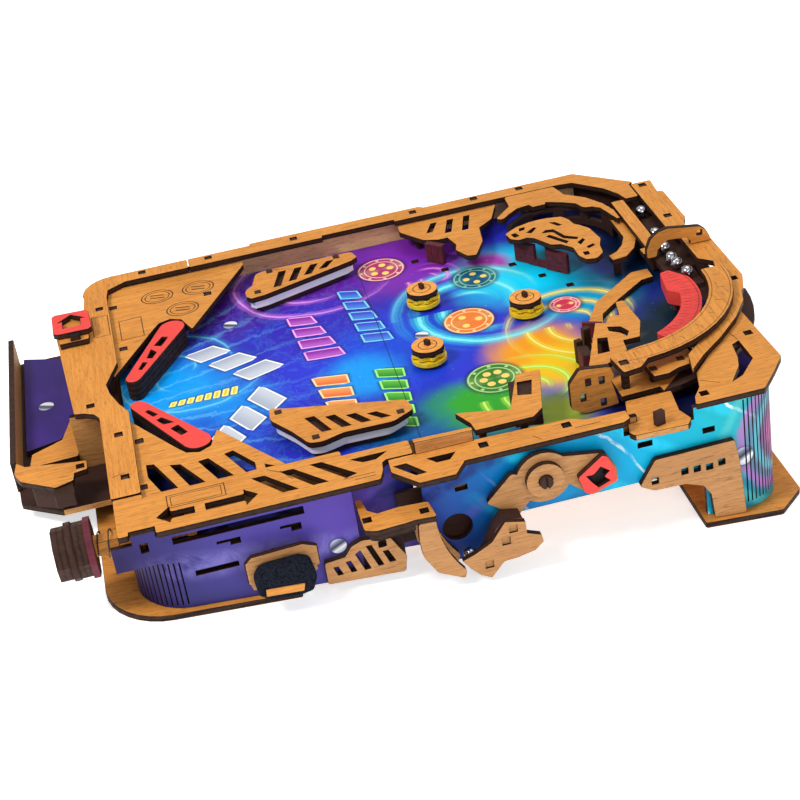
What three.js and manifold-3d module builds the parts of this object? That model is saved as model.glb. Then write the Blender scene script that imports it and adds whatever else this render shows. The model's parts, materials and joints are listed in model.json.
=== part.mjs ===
import * as THREE from "three";
import { mergeVertices } from "three/addons/utils/BufferGeometryUtils.js";
import Module from "manifold-3d";

const wasm = await Module();
wasm.setup();

// Driving dimensions in millimetres. Outlines are shares of the field's length, its width and the wall's depth.
const fieldLength = 250;
const fieldWidth = 200;
const wallDepth = 40;
const frontHeight = 38.5;
const incline = THREE.MathUtils.degToRad(4.5);
const quarterTurn = 90;
const halfTurn = 180;
const ply = 2.5;
const seatGap = 0.3;
const overrun = 1;
const pinHole = 3.4;
const fieldDrop = 12;
const ballRadius = 2.75;
const slitWidth = 0.6;

// Heights in the case's own frame, where the rails' top is zero.
const railTop = 0;
const wallTop = -ply - seatGap;
const tenonTop = -seatGap;
const apronTop = wallTop;
const fieldTop = -fieldDrop;
const fieldSeat = fieldTop + seatGap;
const upperTop = ply + seatGap;
const pinSize = pinHole - seatGap - seatGap;

// Outer faces of the upright plates, as shares of the field's width from the middle of the case.
const faceShares = {
  near: 0.535, far: 0.53375, recess: 0.467, laneInner: 0.43, laneOuter: 0.51725, laneWall: 0.4895,
  shield: 0.4025, gate: -0.04, farCheek: -0.36625, nearCheek: 0.03875,
};
const nearFace = fieldWidth * faceShares.near;
const farFace = fieldWidth * faceShares.far;
const nearSkin = nearFace - ply;
const farSkin = farFace - ply;
const skinFace = nearFace + seatGap + ply;

const materials = {
  wood: surface(0xe0a060, 0.7, 0),
  dark: surface(0x3a2a22, 0.8, 0),
  red: surface(0xf0504a, 0.5, 0),
  maroon: surface(0x6a2a3a, 0.7, 0),
  print: surface(0x4a5ad0, 0.45, 0),
  yellow: surface(0xf0c020, 0.6, 0),
  foam: surface(0x1a1a22, 0.95, 0),
  steel: surface(0xc8c8cc, 0.15, 1),
};

const board = new THREE.Group();
board.rotation.x = incline;
board.position.z = frontHeight * Math.cos(incline);
const stand = new THREE.Group();
const game = new THREE.Group();
game.add(board, stand);

function surface(color, roughness, metalness) {
  return new THREE.MeshStandardMaterial({ color, roughness, metalness });
}

function add(name, geometry, material, group = board) {
  const mesh = new THREE.Mesh(geometry, material);
  mesh.name = name;
  group.add(mesh);
}

// Points of a level outline from pairs of shares, along the field and across it.
function level(shares) {
  return shares.map(([along, across]) => new THREE.Vector2(fieldWidth * across, fieldLength * along));
}

// Points of an upright outline from pairs of shares, along the field and up the wall.
function upright(shares) {
  return shares.map(([along, height]) => new THREE.Vector2(fieldLength * along, wallDepth * height));
}

// A square hole for a pin at a place on a level plate.
function holeAt([along, across]) {
  const half = pinHole / 2;
  const x = fieldWidth * across;
  const y = fieldLength * along;
  return rectangle(x - half, y - half, x + half, y + half);
}

function rectangle(left, low, right, high) {
  return [
    new THREE.Vector2(left, low),
    new THREE.Vector2(right, low),
    new THREE.Vector2(right, high),
    new THREE.Vector2(left, high),
  ];
}

function circle(x, y, radius, steps) {
  const points = [];
  for (let step = 0; step < steps; step += 1) {
    const turn = (Math.PI * 2 * step) / steps;
    points.push(new THREE.Vector2(x + radius * Math.cos(turn), y + radius * Math.sin(turn)));
  }
  return points;
}

// Points on an arc, from one turn to another, measured in degrees from the outline's first axis.
function arc(x, y, radius, fromTurn, toTurn, steps) {
  const points = [];
  for (let step = 0; step <= steps; step += 1) {
    const turn = THREE.MathUtils.degToRad(fromTurn + ((toTurn - fromTurn) * step) / steps);
    points.push(new THREE.Vector2(x + radius * Math.cos(turn), y + radius * Math.sin(turn)));
  }
  return points;
}

function wound(points) {
  return THREE.ShapeUtils.isClockWise(points) ? [...points].reverse() : points;
}

function extrude(outline, holes, depth) {
  const shape = new THREE.Shape(wound(outline));
  shape.holes = holes.map((points) => new THREE.Path(wound(points)));
  return new THREE.ExtrudeGeometry(shape, { depth, bevelEnabled: false });
}

// A level plate with its top at the given height.
function plate(outline, top, holes = [], thickness = ply) {
  return extrude(outline, holes, thickness).translate(0, 0, top - thickness);
}

// A plate that stands along the field, its outline in lengths along and up, and its outer face at a place across.
function sidePlate(outline, outerFace, holes = [], thickness = ply) {
  const turn = new THREE.Matrix4().makeBasis(
    new THREE.Vector3(0, 1, 0),
    new THREE.Vector3(0, 0, 1),
    new THREE.Vector3(1, 0, 0),
  );
  return extrude(outline, holes, thickness).applyMatrix4(turn).translate(outerFace - thickness, 0, 0);
}

// A plate that stands across the field, its outline in lengths across and up, and its back face at a place along.
function crossPlate(outline, backFace, holes = [], thickness = ply) {
  return extrude(outline, holes, thickness).rotateX(Math.PI / 2).translate(0, backFace, 0);
}

function block(left, right, front, back, low, high) {
  const box = new THREE.BoxGeometry(right - left, back - front, high - low);
  return box.translate((left + right) / 2, (front + back) / 2, (low + high) / 2);
}

// A square pin that stands at a place on the board, between two heights.
function pinAt([along, across], low, high) {
  const half = pinSize / 2;
  const x = fieldWidth * across;
  const y = fieldLength * along;
  return block(x - half, x + half, y - half, y + half, low, high);
}

function solidOf(geometry) {
  const bare = new THREE.BufferGeometry();
  bare.setAttribute("position", geometry.getAttribute("position").clone());
  bare.setIndex(geometry.getIndex() ? geometry.getIndex().clone() : null);
  const merged = mergeVertices(bare);
  const vertProperties = new Float32Array(merged.getAttribute("position").array);
  const triVerts = new Uint32Array(merged.getIndex().array);
  return new wasm.Manifold(new wasm.Mesh({ numProp: 3, vertProperties, triVerts }));
}

function geometryOf(solid) {
  const mesh = solid.getMesh();
  const geometry = new THREE.BufferGeometry();
  geometry.setAttribute("position", new THREE.BufferAttribute(mesh.vertProperties, mesh.numProp));
  geometry.setIndex(new THREE.BufferAttribute(mesh.triVerts, 1));
  geometry.computeVertexNormals();
  return geometry;
}

function join(...geometries) {
  return geometryOf(geometries.map(solidOf).reduce((whole, piece) => whole.add(piece)));
}

function cut(geometry, ...tools) {
  return geometryOf(tools.map(solidOf).reduce((whole, tool) => whole.subtract(tool), solidOf(geometry)));
}

// A tenon on a plate's top edge, from left to right, round its middle.
function tenonAt(middle) {
  const half = pinSize / 2;
  return [
    new THREE.Vector2(middle - half, wallTop), new THREE.Vector2(middle - half, tenonTop),
    new THREE.Vector2(middle + half, tenonTop), new THREE.Vector2(middle + half, wallTop),
  ];
}

// The ground's height, and the foot plates' top with its seat, under a place along the board.
function groundAt(along) {
  return -frontHeight - along * Math.tan(incline);
}

function seatAt(along) {
  return groundAt(along) + (ply + seatGap) / Math.cos(incline);
}

function groundPoints(alongs) {
  return alongs.map((along) => new THREE.Vector2(along, seatAt(along)));
}

// Front crossbar and the rails round the field.
const crossbarShares = [
  [0, 0.398], [0, 0.09], [-0.008, 0.07], [-0.024, 0.057], [-0.04, 0.052], [-0.048, -0.125], [-0.061, -0.4],
  [-0.002, -0.4], [0.002, -0.475],
];
const crossbarInnerShares = [
  [0.2, -0.5425], [0.2, -0.5], [0.08, -0.5], [0.046, -0.475], [0.042, -0.44], [0.042, -0.125],
  [0.018, -0.04], [0.022, 0], [0.034, 0.05], [0.048, 0.09], [0.046, 0.398],
];
const crossbarCornerPinShares = [0.114, -0.5275];
const bulkheadPinShares = [[0.026, -0.39], [0.026, 0.17], [0.0265, 0.33]];
const trayPinShares = [[-0.036, -0.3725], [-0.012, 0.0325]];
const crossbarPinShares = [crossbarCornerPinShares, ...bulkheadPinShares, ...trayPinShares];
const crossbarSideShare = -0.5425;
const crossbarCorner = 14;
const cornerSteps = 6;

function frontCrossbar() {
  const middle = crossbarSideShare * fieldWidth + crossbarCorner;
  const corner = arc(middle, crossbarCorner, crossbarCorner, -quarterTurn, -halfTurn, cornerSteps);
  const outline = [...level(crossbarShares), ...corner, ...level(crossbarInnerShares)];
  add("front_crossbar", plate(outline, railTop, crossbarPinShares.map(holeAt)), materials.wood);
}

const coverShares = [
  [0.002, 0.405], [0.047, 0.405], [0.047, 0.4175], [0.352, 0.4175], [0.352, 0.435], [0.456, 0.435],
  [0.456, 0.4825], [0.414, 0.4825], [0.407, 0.49], [0.404, 0.515], [0.396, 0.5425], [0.058, 0.5425],
  [0.058, 0.52], [0.018, 0.52], [0.018, 0.532], [0.002, 0.532],
];
const coverHoleShares = [
  [[0.062, 0.495], [0.084, 0.4675], [0.084, 0.485], [0.12, 0.485], [0.12, 0.5075], [0.084, 0.5075], [0.082, 0.52]],
  [[0.136, 0.485], [0.196, 0.485], [0.196, 0.47], [0.216, 0.495], [0.196, 0.5225], [0.196, 0.5075], [0.136, 0.5075]],
  [[0.212, 0.44], [0.232, 0.44], [0.276, 0.51], [0.252, 0.51]],
  [[0.256, 0.44], [0.276, 0.44], [0.322, 0.51], [0.298, 0.51]],
  [[0.302, 0.44], [0.32, 0.44], [0.366, 0.505], [0.348, 0.5125]],
  [[0.362, 0.455], [0.42, 0.455], [0.4, 0.474], [0.38, 0.474]],
];

function launchCover() {
  add("launch_cover", plate(level(coverShares), railTop, coverHoleShares.map(level)), materials.wood);
}

const nearRailShares = [
  [0.416, 0.487], [0.414, 0.53], [0.448, 0.585], [0.504, 0.585], [0.524, 0.548], [0.772, 0.548], [0.784, 0.538],
  [0.784, 0.51], [0.72, 0.5075], [0.7, 0.4925], [0.556, 0.487],
];
const nearRailHoleShares = [
  [[0.42, 0.512], [0.44, 0.512], [0.464, 0.556], [0.448, 0.5575]],
  [[0.472, 0.512], [0.516, 0.512], [0.504, 0.532], [0.484, 0.532]],
];
const nearRailPinShares = [[0.56, 0.511], [0.69, 0.511]];
const laneWallShares = [[0.458, 0.13], [0.55, 0.115], [0.55, -0.062], [0.458, -0.062]];

function nearRail() {
  const holes = [...nearRailHoleShares.map(level), ...nearRailPinShares.map(holeAt)];
  const block = sidePlate(upright(laneWallShares), fieldWidth * faceShares.laneWall);
  add("near_rail", join(plate(level(nearRailShares), railTop, holes), block), materials.wood);
}

const farRailShares = [
  [0.202, -0.5425], [0.32, -0.5425], [0.322, -0.5525], [0.652, -0.55], [0.66, -0.54], [0.956, -0.5425],
  [1.048, -0.43], [1.038, -0.4215], [1.038, -0.3525], [1.014, -0.3525], [1.008, -0.385], [0.99, -0.43],
  [0.944, -0.495], [0.916, -0.5], [0.596, -0.5], [0.596, -0.51], [0.456, -0.51], [0.456, -0.5], [0.202, -0.5],
];
const farRailPinShares = [
  [0.24, -0.5275], [0.404, -0.5275], [0.636, -0.5275], [0.756, -0.5275], [0.846, -0.5275],
];

function farRail() {
  add("far_rail", plate(level(farRailShares), railTop, farRailPinShares.map(holeAt)), materials.wood);
}

const backCornerShares = [
  [1.048, 0.17], [1.054, 0.45], [1.028, 0.495], [0.996, 0.546], [0.886, 0.546], [0.892, 0.52], [0.908, 0.49],
  [0.918, 0.44], [0.956, 0.385], [0.99, 0.338], [1.02, 0.285], [1.04, 0.23],
];
const backCornerHoleShares = [
  [[0.998, 0.37], [1.012, 0.36], [1.012, 0.435], [0.98, 0.485], [0.958, 0.5], [0.984, 0.45], [0.992, 0.42]],
];
const backCornerPinShares = [[0.908, 0.515], [1.034, 0.34]];

function backCorner() {
  const holes = [...backCornerHoleShares.map(level), ...backCornerPinShares.map(holeAt)];
  add("back_corner_rail", plate(level(backCornerShares), railTop, holes), materials.wood);
}

const backRimShares = [
  [1.086, -0.115], [1.09, -0.05], [1.09, 0.135], [1.076, 0.185], [1.068, 0.2], [1.06, 0.235], [1.028, 0.295],
  [0.984, 0.355], [0.94, 0.405], [0.912, 0.445], [0.908, 0.46], [0.92, 0.39], [0.956, 0.345], [0.984, 0.3],
  [1.016, 0.245], [1.03, 0.21], [1.044, 0.175], [1.064, 0.05], [1.044, 0.025], [1.044, -0.115],
];
const backRimPinShares = [[1.072, 0.14]];

function backRim() {
  add("back_rim", plate(level(backRimShares), upperTop, backRimPinShares.map(holeAt)), materials.wood);
}

const channelOuterShares = [
  [1.041, -0.42], [1.08, -0.42], [1.076, -0.355], [1.086, -0.35], [1.086, -0.2], [1.076, -0.175],
  [1.07, -0.125], [1.041, -0.125],
];
const channelOuterPinShares = [[1.06, -0.4025], [1.0595, -0.225]];
const channelInnerShares = [
  [0.984, -0.35], [1.008, -0.35], [1.008, -0.1], [0.972, -0.07], [0.972, -0.1], [0.984, -0.1],
];
const channelFloorShares = [[0.996, -0.335], [1.004, -0.415], [1.06, -0.409], [1.06, -0.03], [0.996, -0.03]];
const channelWallShares = [[0.992, -0.335], [1.002, -0.335], [1.002, -0.09], [0.992, -0.09]];
const channelFloorTop = -5.8;

function ballChannel() {
  const outer = plate(level(channelOuterShares), railTop, channelOuterPinShares.map(holeAt));
  add("channel_outer_rail", outer, materials.wood);
  add("channel_inner_rail", plate(level(channelInnerShares), railTop), materials.wood);
}

// Aprons on both sides of the flippers, one ply under the crossbar.
const farApronShares = [
  [0.0325, -0.4975], [0.3, -0.4975], [0.3, -0.48], [0.18, -0.225], [0.174, -0.245], [0.165, -0.28],
  [0.146, -0.294], [0.125, -0.285], [0.113, -0.262], [0.0325, -0.087],
];
const farApronPinShares = [[0.05, -0.4075], [0.222, -0.375], [0.056, -0.205]];
const nearApronShares = [
  [0.0325, 0.076], [0.113, 0.25], [0.125, 0.273], [0.146, 0.282], [0.165, 0.268],
  [0.174, 0.233], [0.18, 0.213], [0.269, 0.395], [0.269, 0.416], [0.0325, 0.416],
];
const nearApronHoleShares = [
  [[0.06, 0.285], [0.072, 0.288], [0.102, 0.39], [0.076, 0.39], [0.06, 0.33]],
  [[0.096, 0.305], [0.112, 0.31], [0.144, 0.392], [0.12, 0.392]],
  [[0.14, 0.315], [0.156, 0.312], [0.188, 0.392], [0.164, 0.392]],
  [[0.182, 0.31], [0.196, 0.305], [0.224, 0.365], [0.224, 0.39], [0.208, 0.392]],
  [[0.238, 0.378], [0.252, 0.392], [0.238, 0.392]],
];
const nearApronPinShares = [[0.05, 0.36], [0.056, 0.19]];
const apronLegTop = apronTop - seatGap;

// An apron stands on square legs that end as pins in its holes.
function apron(name, outlineShares, pinShares, holeShares) {
  const holes = [...holeShares.map(level), ...pinShares.map(holeAt)];
  add(name, plate(level(outlineShares), apronTop, holes), materials.wood);
}

// The playfield board carries the pins of the aprons, slingshots and lane plates.
const fieldShares = [
  [0.038, -0.5195], [0.95, -0.5195], [0.984, -0.47], [1.036, -0.41], [1.036, 0.41], [1.004, 0.485],
  [0.46, 0.485], [0.46, 0.4525], [0.352, 0.4525], [0.352, 0.5195], [0.038, 0.5195],
];
const fieldSlotShares = [[0.61, -0.392], [0.654, -0.32], [0.772, -0.272], [0.81, -0.19], [0.845, -0.12]];
const fieldPinShares = [...farApronPinShares, ...nearApronPinShares];

const ribShares = [0.3, 0.74];
const ribHeight = 12;
const guideShares = [
  [0.815, 0.175], [0.826, 0.09], [0.862, 0.006], [0.95, -0.088], [0.98, -0.088], [0.98, -0.05],
  [0.958, -0.046], [0.9, 0.014], [0.86, 0.06], [0.848, 0.11], [0.842, 0.175],
];
const guideTop = -9.3;

// The board with the guide strip on it and two ribs glued under it.
function playfield() {
  const base = plate(level(fieldShares), fieldTop, fieldSlotShares.map(holeAt));
  const legs = fieldPinShares.map((place) => pinAt(place, fieldTop - overrun, apronLegTop));
  const guide = plate(level(guideShares), guideTop, [], guideTop - fieldTop + overrun);
  const ribTop = fieldTop - ply + seatGap;
  const left = -farSkin + seatGap;
  const right = recessFace - ply - seatGap;
  const ribs = ribShares.map((share) =>
    crossPlate(rectangle(left, ribTop - ribHeight, right, ribTop), fieldLength * share));
  add("playfield", join(base, guide, ...legs, ...ribs), materials.print);
}

// Two flippers, mirrored about the drain's middle line.
const drainMiddleShare = -0.006;
const flipperPivotShares = [0.146, 0.246];
const flipperTipShares = [0.064, 0.058];
const flipperHub = 5.8;
const flipperTip = 3.4;
const flipperTop = -2.5;
const flipperSteps = 7;
const flipperSlotShares = [
  [[0.2, -0.2], [0.38, -0.3], [0.38, 0.3], [0.2, 0.3]],
  [[0.45, -0.32], [0.62, -0.12], [0.62, 0.3], [0.5, 0.3]],
  [[0.7, -0.2], [0.84, -0.1], [0.84, 0.18], [0.7, 0.18]],
];

// A place on a flipper, whose share across is counted from the drain's middle towards one side.
function flipperPoint(side, [along, across]) {
  return new THREE.Vector2((drainMiddleShare + side * across) * fieldWidth, along * fieldLength);
}

function taperedOutline(start, startRadius, end, endRadius) {
  const span = end.clone().sub(start);
  const heading = THREE.MathUtils.radToDeg(span.angle());
  const lean = THREE.MathUtils.radToDeg(Math.asin((startRadius - endRadius) / span.length()));
  const side = quarterTurn - lean;
  return [
    ...arc(start.x, start.y, startRadius, heading + side, heading + halfTurn * 2 - side, flipperSteps),
    ...arc(end.x, end.y, endRadius, heading - side, heading + side, flipperSteps - 2),
  ];
}

function flipper(name, side) {
  const pivot = flipperPoint(side, flipperPivotShares);
  const tip = flipperPoint(side, flipperTipShares);
  const along = tip.clone().sub(pivot);
  const across = new THREE.Vector2(-along.y, along.x).setLength(flipperHub);
  const slots = flipperSlotShares.map((slot) => slot.map(([far, wide]) =>
    pivot.clone().addScaledVector(along, far).addScaledVector(across, wide)));
  const outline = taperedOutline(pivot, flipperHub, tip, flipperTip);
  const whole = plate(outline, flipperTop, [], flipperTop - fieldSeat);
  const pockets = slots.map((slot) => plate(slot, flipperTop + overrun, [], ply + overrun));
  add(name, cut(whole, ...pockets), materials.red);
}

// Slingshots: a wood top over a white band, on a dark core that stands on the board.
const slingTop = -3.3;
const slingBandHeight = 3.2;
const nearSlingShares = [
  [0.269, 0.1775], [0.297, 0.1925], [0.483, 0.263], [0.487, 0.3035], [0.45, 0.3315], [0.37, 0.329],
  [0.334, 0.344], [0.313, 0.339], [0.293, 0.2835], [0.265, 0.223],
];
const nearSlingPinShares = [[0.281, 0.2], [0.466, 0.303], [0.326, 0.323]];
const farSlingShares = [
  [0.288, -0.32], [0.296, -0.3075], [0.322, -0.312], [0.491, -0.3825], [0.504, -0.395], [0.499, -0.428],
  [0.336, -0.43], [0.316, -0.423], [0.304, -0.37], [0.288, -0.35],
];
const farSlingPinShares = [[0.31, -0.332], [0.342, -0.42], [0.468, -0.418]];
const nearSlotShares = {
  start: 0.318, spacing: 0.032, width: 0.016, lean: 0.02, inner: 0.245, outer: 0.31, rise: 0.012,
};
const farSlotShares = {
  start: 0.34, spacing: 0.03, width: 0.014, lean: 0.018, inner: -0.338, outer: -0.408, rise: -0.013,
};
const slingSlots = 4;

function slantedSlots(shares) {
  const slots = [];
  for (let index = 0; index < slingSlots; index += 1) {
    const start = shares.start + shares.spacing * index;
    const inner = shares.inner + shares.rise * index;
    const outer = shares.outer;
    slots.push(level([
      [start, inner], [start + shares.width, inner],
      [start + shares.width + shares.lean, outer], [start + shares.lean, outer],
    ]));
  }
  return slots;
}

function shrink(points, share) {
  const middle = new THREE.Vector2();
  points.forEach((point) => middle.addScaledVector(point, 1 / points.length));
  return points.map((point) => middle.clone().lerp(point, share));
}

const bandInsetShare = 0.93;
const coreInsetShare = 0.8;

function slingshot(name, outlineShares, pinShares, slotShares) {
  const outline = level(outlineShares);
  const bandTop = slingTop - ply - seatGap;
  const top = plate(outline, slingTop, slantedSlots(slotShares));
  const band = plate(shrink(outline, bandInsetShare), bandTop, [], slingBandHeight);
  const coreTop = slingTop - ply + seatGap;
  const core = plate(shrink(outline, coreInsetShare), coreTop, [], coreTop - fieldSeat);
  const pins = pinShares.map((place) => pinAt(place, coreTop - overrun, slingTop + seatGap));
  add(name, join(top, band, core, ...pins), materials.wood);
}

// Round bumpers: a wood cap over a toothed dark ply, a rubber ring and a foot, all on one post.
const bumperShares = [[0.588, -0.1765], [0.5528, 0.0705], [0.7464, -0.036]];
const bumperRadius = 7.5;
const bumperTop = -3.3;
const bumperHead = 2;
const bumperRing = 2;
const bumperWaist = 5.6;
const bumperSteps = 24;
const bumperNotch = 1.2;
const bumperTeeth = 8;
const stepsPerTooth = 4;

// A toothed disc whose rim steps in and out.
function toothedCircle(x, y, radius) {
  const points = [];
  const steps = bumperTeeth * stepsPerTooth;
  for (let step = 0; step < steps; step += 1) {
    const turn = (Math.PI * 2 * step) / steps;
    const reach = step % stepsPerTooth < stepsPerTooth / 2 ? radius : radius - bumperNotch;
    points.push(new THREE.Vector2(x + reach * Math.cos(turn), y + reach * Math.sin(turn)));
  }
  return points;
}

function bumper(index) {
  const [along, across] = bumperShares[index];
  const x = fieldWidth * across;
  const y = fieldLength * along;
  const headTop = bumperTop - ply - seatGap;
  const ringTop = headTop - bumperHead - seatGap;
  const footTop = ringTop - bumperRing - seatGap;
  const capTop = bumperTop - seatGap;
  const cap = plate(circle(x, y, bumperRadius - bumperNotch / 2, bumperSteps), bumperTop);
  const head = plate(toothedCircle(x, y, bumperRadius - seatGap), headTop, [], bumperHead);
  const ring = plate(circle(x, y, bumperRadius, bumperSteps), ringTop, [], bumperRing);
  const foot = plate(circle(x, y, bumperRadius - bumperNotch, bumperSteps), footTop, [], footTop - fieldSeat);
  const waist = plate(circle(x, y, bumperWaist, bumperSteps), capTop, [], capTop - fieldSeat - seatGap);
  add(`bumper_${index + 1}`, join(cap, head, ring, foot, waist), materials.yellow);
}

// The curved track in the back near corner, its layers concentric.
const trackCentreShares = [0.838, 0.11];
const returnArcTop = 6;
const deflectorInner = 35.5;
const deflectorWidth = 8.5;
const deflectorOuter = deflectorInner + deflectorWidth;
const trackStep = 3;
const returnInner = deflectorOuter + trackStep;
const returnWidth = 10;
const returnOuter = returnInner + returnWidth;
const trackFloorInner = returnInner + trackStep;
const trackFloorWidth = 15;
const trackFloorOuter = trackFloorInner + trackFloorWidth;
const trackFloorTop = -5.4;
const deflectorTop = 1;
const deflectorHeight = 6.4;
const trackSteps = 12;
const lobeShares = [[0.836, 0.42], [0.806, 0.426], [0.799, 0.36], [0.83, 0.35]];
const returnPinShares = [[0.815, 0.39]];
const floorLobeShares = [[0.8, 0.345], [0.93, 0.325], [0.93, 0.398], [0.88, 0.415], [0.8, 0.42]];
const endPlateShares = [[0.85, 0.33], [0.93, 0.32], [0.934, 0.398], [0.9, 0.405], [0.88, 0.417], [0.856, 0.417]];
const endPlateTop = -0.1;
const endPlatePinShares = [[0.8616, 0.388], [0.9104, 0.375]];
const lowerEndShares = [[0.83, 0.34], [0.92, 0.33], [0.92, 0.4], [0.89, 0.412], [0.86, 0.42], [0.832, 0.42]];
const lowerEndTop = -8.5;

function trackCentre() {
  return new THREE.Vector2(trackCentreShares[1] * fieldWidth, trackCentreShares[0] * fieldLength);
}

// An arc's turn on the board, counted from straight back towards the near side.
function boardArc(radius, fromTurn, toTurn, steps) {
  const centre = trackCentre();
  return arc(centre.x, centre.y, radius, quarterTurn - fromTurn, quarterTurn - toTurn, steps);
}

const returnStartTurn = -2;
const returnEndTurn = 86;
const floorStartTurn = 2;
const floorEndTurn = 84;
const redStartTurn = -9;
const redEndTurn = 64;
const redInnerTurn = 8;
const redNoseShares = [[0.963, 0.1125], [0.972, 0.035], [0.988, 0.03]];
const redPinShares = [[0.984, 0.09]];

function returnArc() {
  const outline = [
    ...boardArc(returnOuter, returnStartTurn, returnEndTurn, trackSteps),
    ...level(lobeShares),
    ...boardArc(returnInner, returnEndTurn, returnStartTurn, trackSteps),
  ];
  add("return_arc", plate(outline, returnArcTop, returnPinShares.map(holeAt)), materials.wood);
}

// The track's floor, the plates at its near end and the pins that hold them one over another.
function trackFloor() {
  const outline = [
    ...boardArc(trackFloorOuter, floorStartTurn, floorEndTurn, trackSteps),
    ...boardArc(trackFloorInner, floorEndTurn, floorStartTurn, trackSteps),
  ];
  const legs = endPlatePinShares.map((place) => pinAt(place, lowerEndTop - overrun, endPlateTop + seatGap));
  const lobe = pinAt(returnPinShares[0], trackFloorTop - overrun, returnArcTop - seatGap);
  add("track_floor", join(
    plate(outline, trackFloorTop),
    plate(level(floorLobeShares), trackFloorTop),
    plate(level(endPlateShares), endPlateTop),
    plate(level(lowerEndShares), lowerEndTop),
    ...legs,
    lobe,
  ), materials.wood);
}

function redDeflector() {
  const outline = [
    ...boardArc(deflectorOuter, redStartTurn, redEndTurn, trackSteps),
    ...boardArc(deflectorInner, redEndTurn, redInnerTurn, trackSteps),
    ...level(redNoseShares),
  ];
  const foot = pinAt(redPinShares[0], fieldSeat, deflectorTop - overrun);
  add("red_deflector", join(plate(outline, deflectorTop, [], deflectorHeight), foot), materials.red);
}

// The stepped plate over the lane's exit, with the dark posts and maroon plates that carry it.
const castleShares = [
  [0.818, 0.19], [0.834, 0.2], [0.846, 0.175], [0.862, 0.18], [0.87, 0.125], [0.883, 0.125], [0.887, 0.22],
  [0.87, 0.28], [0.842, 0.28], [0.838, 0.32], [0.798, 0.3525], [0.766, 0.3525],
];
const castleHoleShares = [
  [[0.806, 0.25], [0.822, 0.255], [0.812, 0.31], [0.792, 0.31]],
  [[0.832, 0.215], [0.852, 0.225], [0.86, 0.25], [0.852, 0.268], [0.846, 0.25], [0.83, 0.232]],
];
const castleTop = 2.5;

const castlePostShares = [
  [[0.81, 0.21], [0.858, 0.186], [0.862, 0.206], [0.816, 0.232]],
  [[0.77, 0.255], [0.786, 0.26], [0.786, 0.3], [0.77, 0.295]],
];

function castle() {
  const posts = castlePostShares.map((shares) =>
    plate(level(shares), castleTop - overrun, [], castleTop - overrun - fieldSeat));
  add("castle_plate", join(plate(level(castleShares), castleTop, castleHoleShares.map(level)), ...posts),
    materials.wood);
}

const targetTop = -2.3;
const targetShares = [
  [[0.638, -0.388], [0.664, -0.354], [0.656, -0.342], [0.63, -0.376]],
  [[0.788, -0.297], [0.816, -0.2515], [0.808, -0.241], [0.78, -0.286]],
  [[0.83, -0.2215], [0.86, -0.1755], [0.852, -0.165], [0.822, -0.211]],
];
const targetFootShares = [[0.806, -0.262], [0.836, -0.2155], [0.83, -0.204], [0.8, -0.251]];
const targetFootTop = -9;

// One single target, and two that share a foot.
function targets() {
  const stands = targetShares.map((shares) => plate(level(shares), targetTop, [], targetTop - fieldSeat));
  const foot = plate(level(targetFootShares), targetFootTop, [], targetFootTop - fieldSeat);
  add("single_target", stands[0], materials.maroon);
  add("twin_target", join(stands[1], stands[2], foot), materials.maroon);
}

const shieldShares = [
  [0.722, 0.08], [0.74, 0.22], [0.79, 0.18], [0.796, 0.06], [0.79, 0.02], [0.8, -0.26], [0.744, -0.285],
  [0.722, -0.2],
];
const shieldHoleShares = [
  [[0.748, 0.1], [0.757, 0.1], [0.757, 0.02], [0.748, 0.02]],
  [[0.77, 0.09], [0.779, 0.09], [0.779, 0.01], [0.77, 0.01]],
  [[0.738, -0.06], [0.747, -0.06], [0.747, -0.14], [0.738, -0.14]],
  [[0.77, -0.16], [0.779, -0.16], [0.779, -0.24], [0.77, -0.24]],
];

function shield() {
  const face = fieldWidth * faceShares.shield;
  add("shield_plate", sidePlate(upright(shieldShares), face, shieldHoleShares.map(upright)), materials.wood);
}

// The stepped plate beside the launch lane, the box it rests on and the small wall in front of it.
const laneSideShares = [
  [0.538, 0.4035], [0.62, 0.435], [0.63, 0.402], [0.655, 0.316], [0.694, 0.318], [0.666, 0.455], [0.647, 0.478],
  [0.556, 0.478], [0.554, 0.45],
];
const laneSideHoleShares = [[[0.65, 0.345], [0.674, 0.348], [0.662, 0.4], [0.641, 0.392]]];
const laneSidePinShares = [[0.572, 0.437], [0.636, 0.448]];
const laneSideTop = 2.8;
const laneBoxShares = [[0.638, 0.33], [0.684, 0.33], [0.676, 0.4], [0.632, 0.39]];

function laneSide() {
  const holes = laneSideHoleShares.map(level);
  const boxTop = laneSideTop - overrun;
  const box = plate(level(laneBoxShares), boxTop, [], boxTop - fieldSeat);
  const pins = laneSidePinShares.map((place) => pinAt(place, fieldSeat, laneSideTop - overrun));
  add("lane_side_plate", join(plate(level(laneSideShares), laneSideTop, holes), box, ...pins), materials.wood);
}

const shelfStartShares = [
  [0.79, 0.49], [0.778, 0.548], [0.784, 0.562], [0.868, 0.566], [0.877, 0.548], [0.868, 0.512], [0.875, 0.44],
  [0.8, 0.44],
];
const shelfNotchShares = { start: 0.772, end: 0.884 };
const laneShelfTop = -5.2;

// The far lane plate and the arch in the back far corner.
const farLaneShares = [
  [0.6, -0.4985], [0.598, -0.465], [0.632, -0.4], [0.658, -0.385], [0.676, -0.385], [0.684, -0.34], [0.678, -0.315],
  [0.692, -0.275], [0.708, -0.27], [0.732, -0.33], [0.74, -0.4], [0.77, -0.43], [0.784, -0.475], [0.792, -0.4985],
];
const farLaneHoleShares = [
  [[0.644, -0.43], [0.656, -0.43], [0.672, -0.475], [0.66, -0.475]],
  [[0.676, -0.41], [0.688, -0.41], [0.704, -0.475], [0.692, -0.475]],
  [[0.708, -0.405], [0.72, -0.405], [0.736, -0.475], [0.724, -0.475]],
];
const farLanePinShares = [[0.63, -0.455], [0.712, -0.36]];

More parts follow.
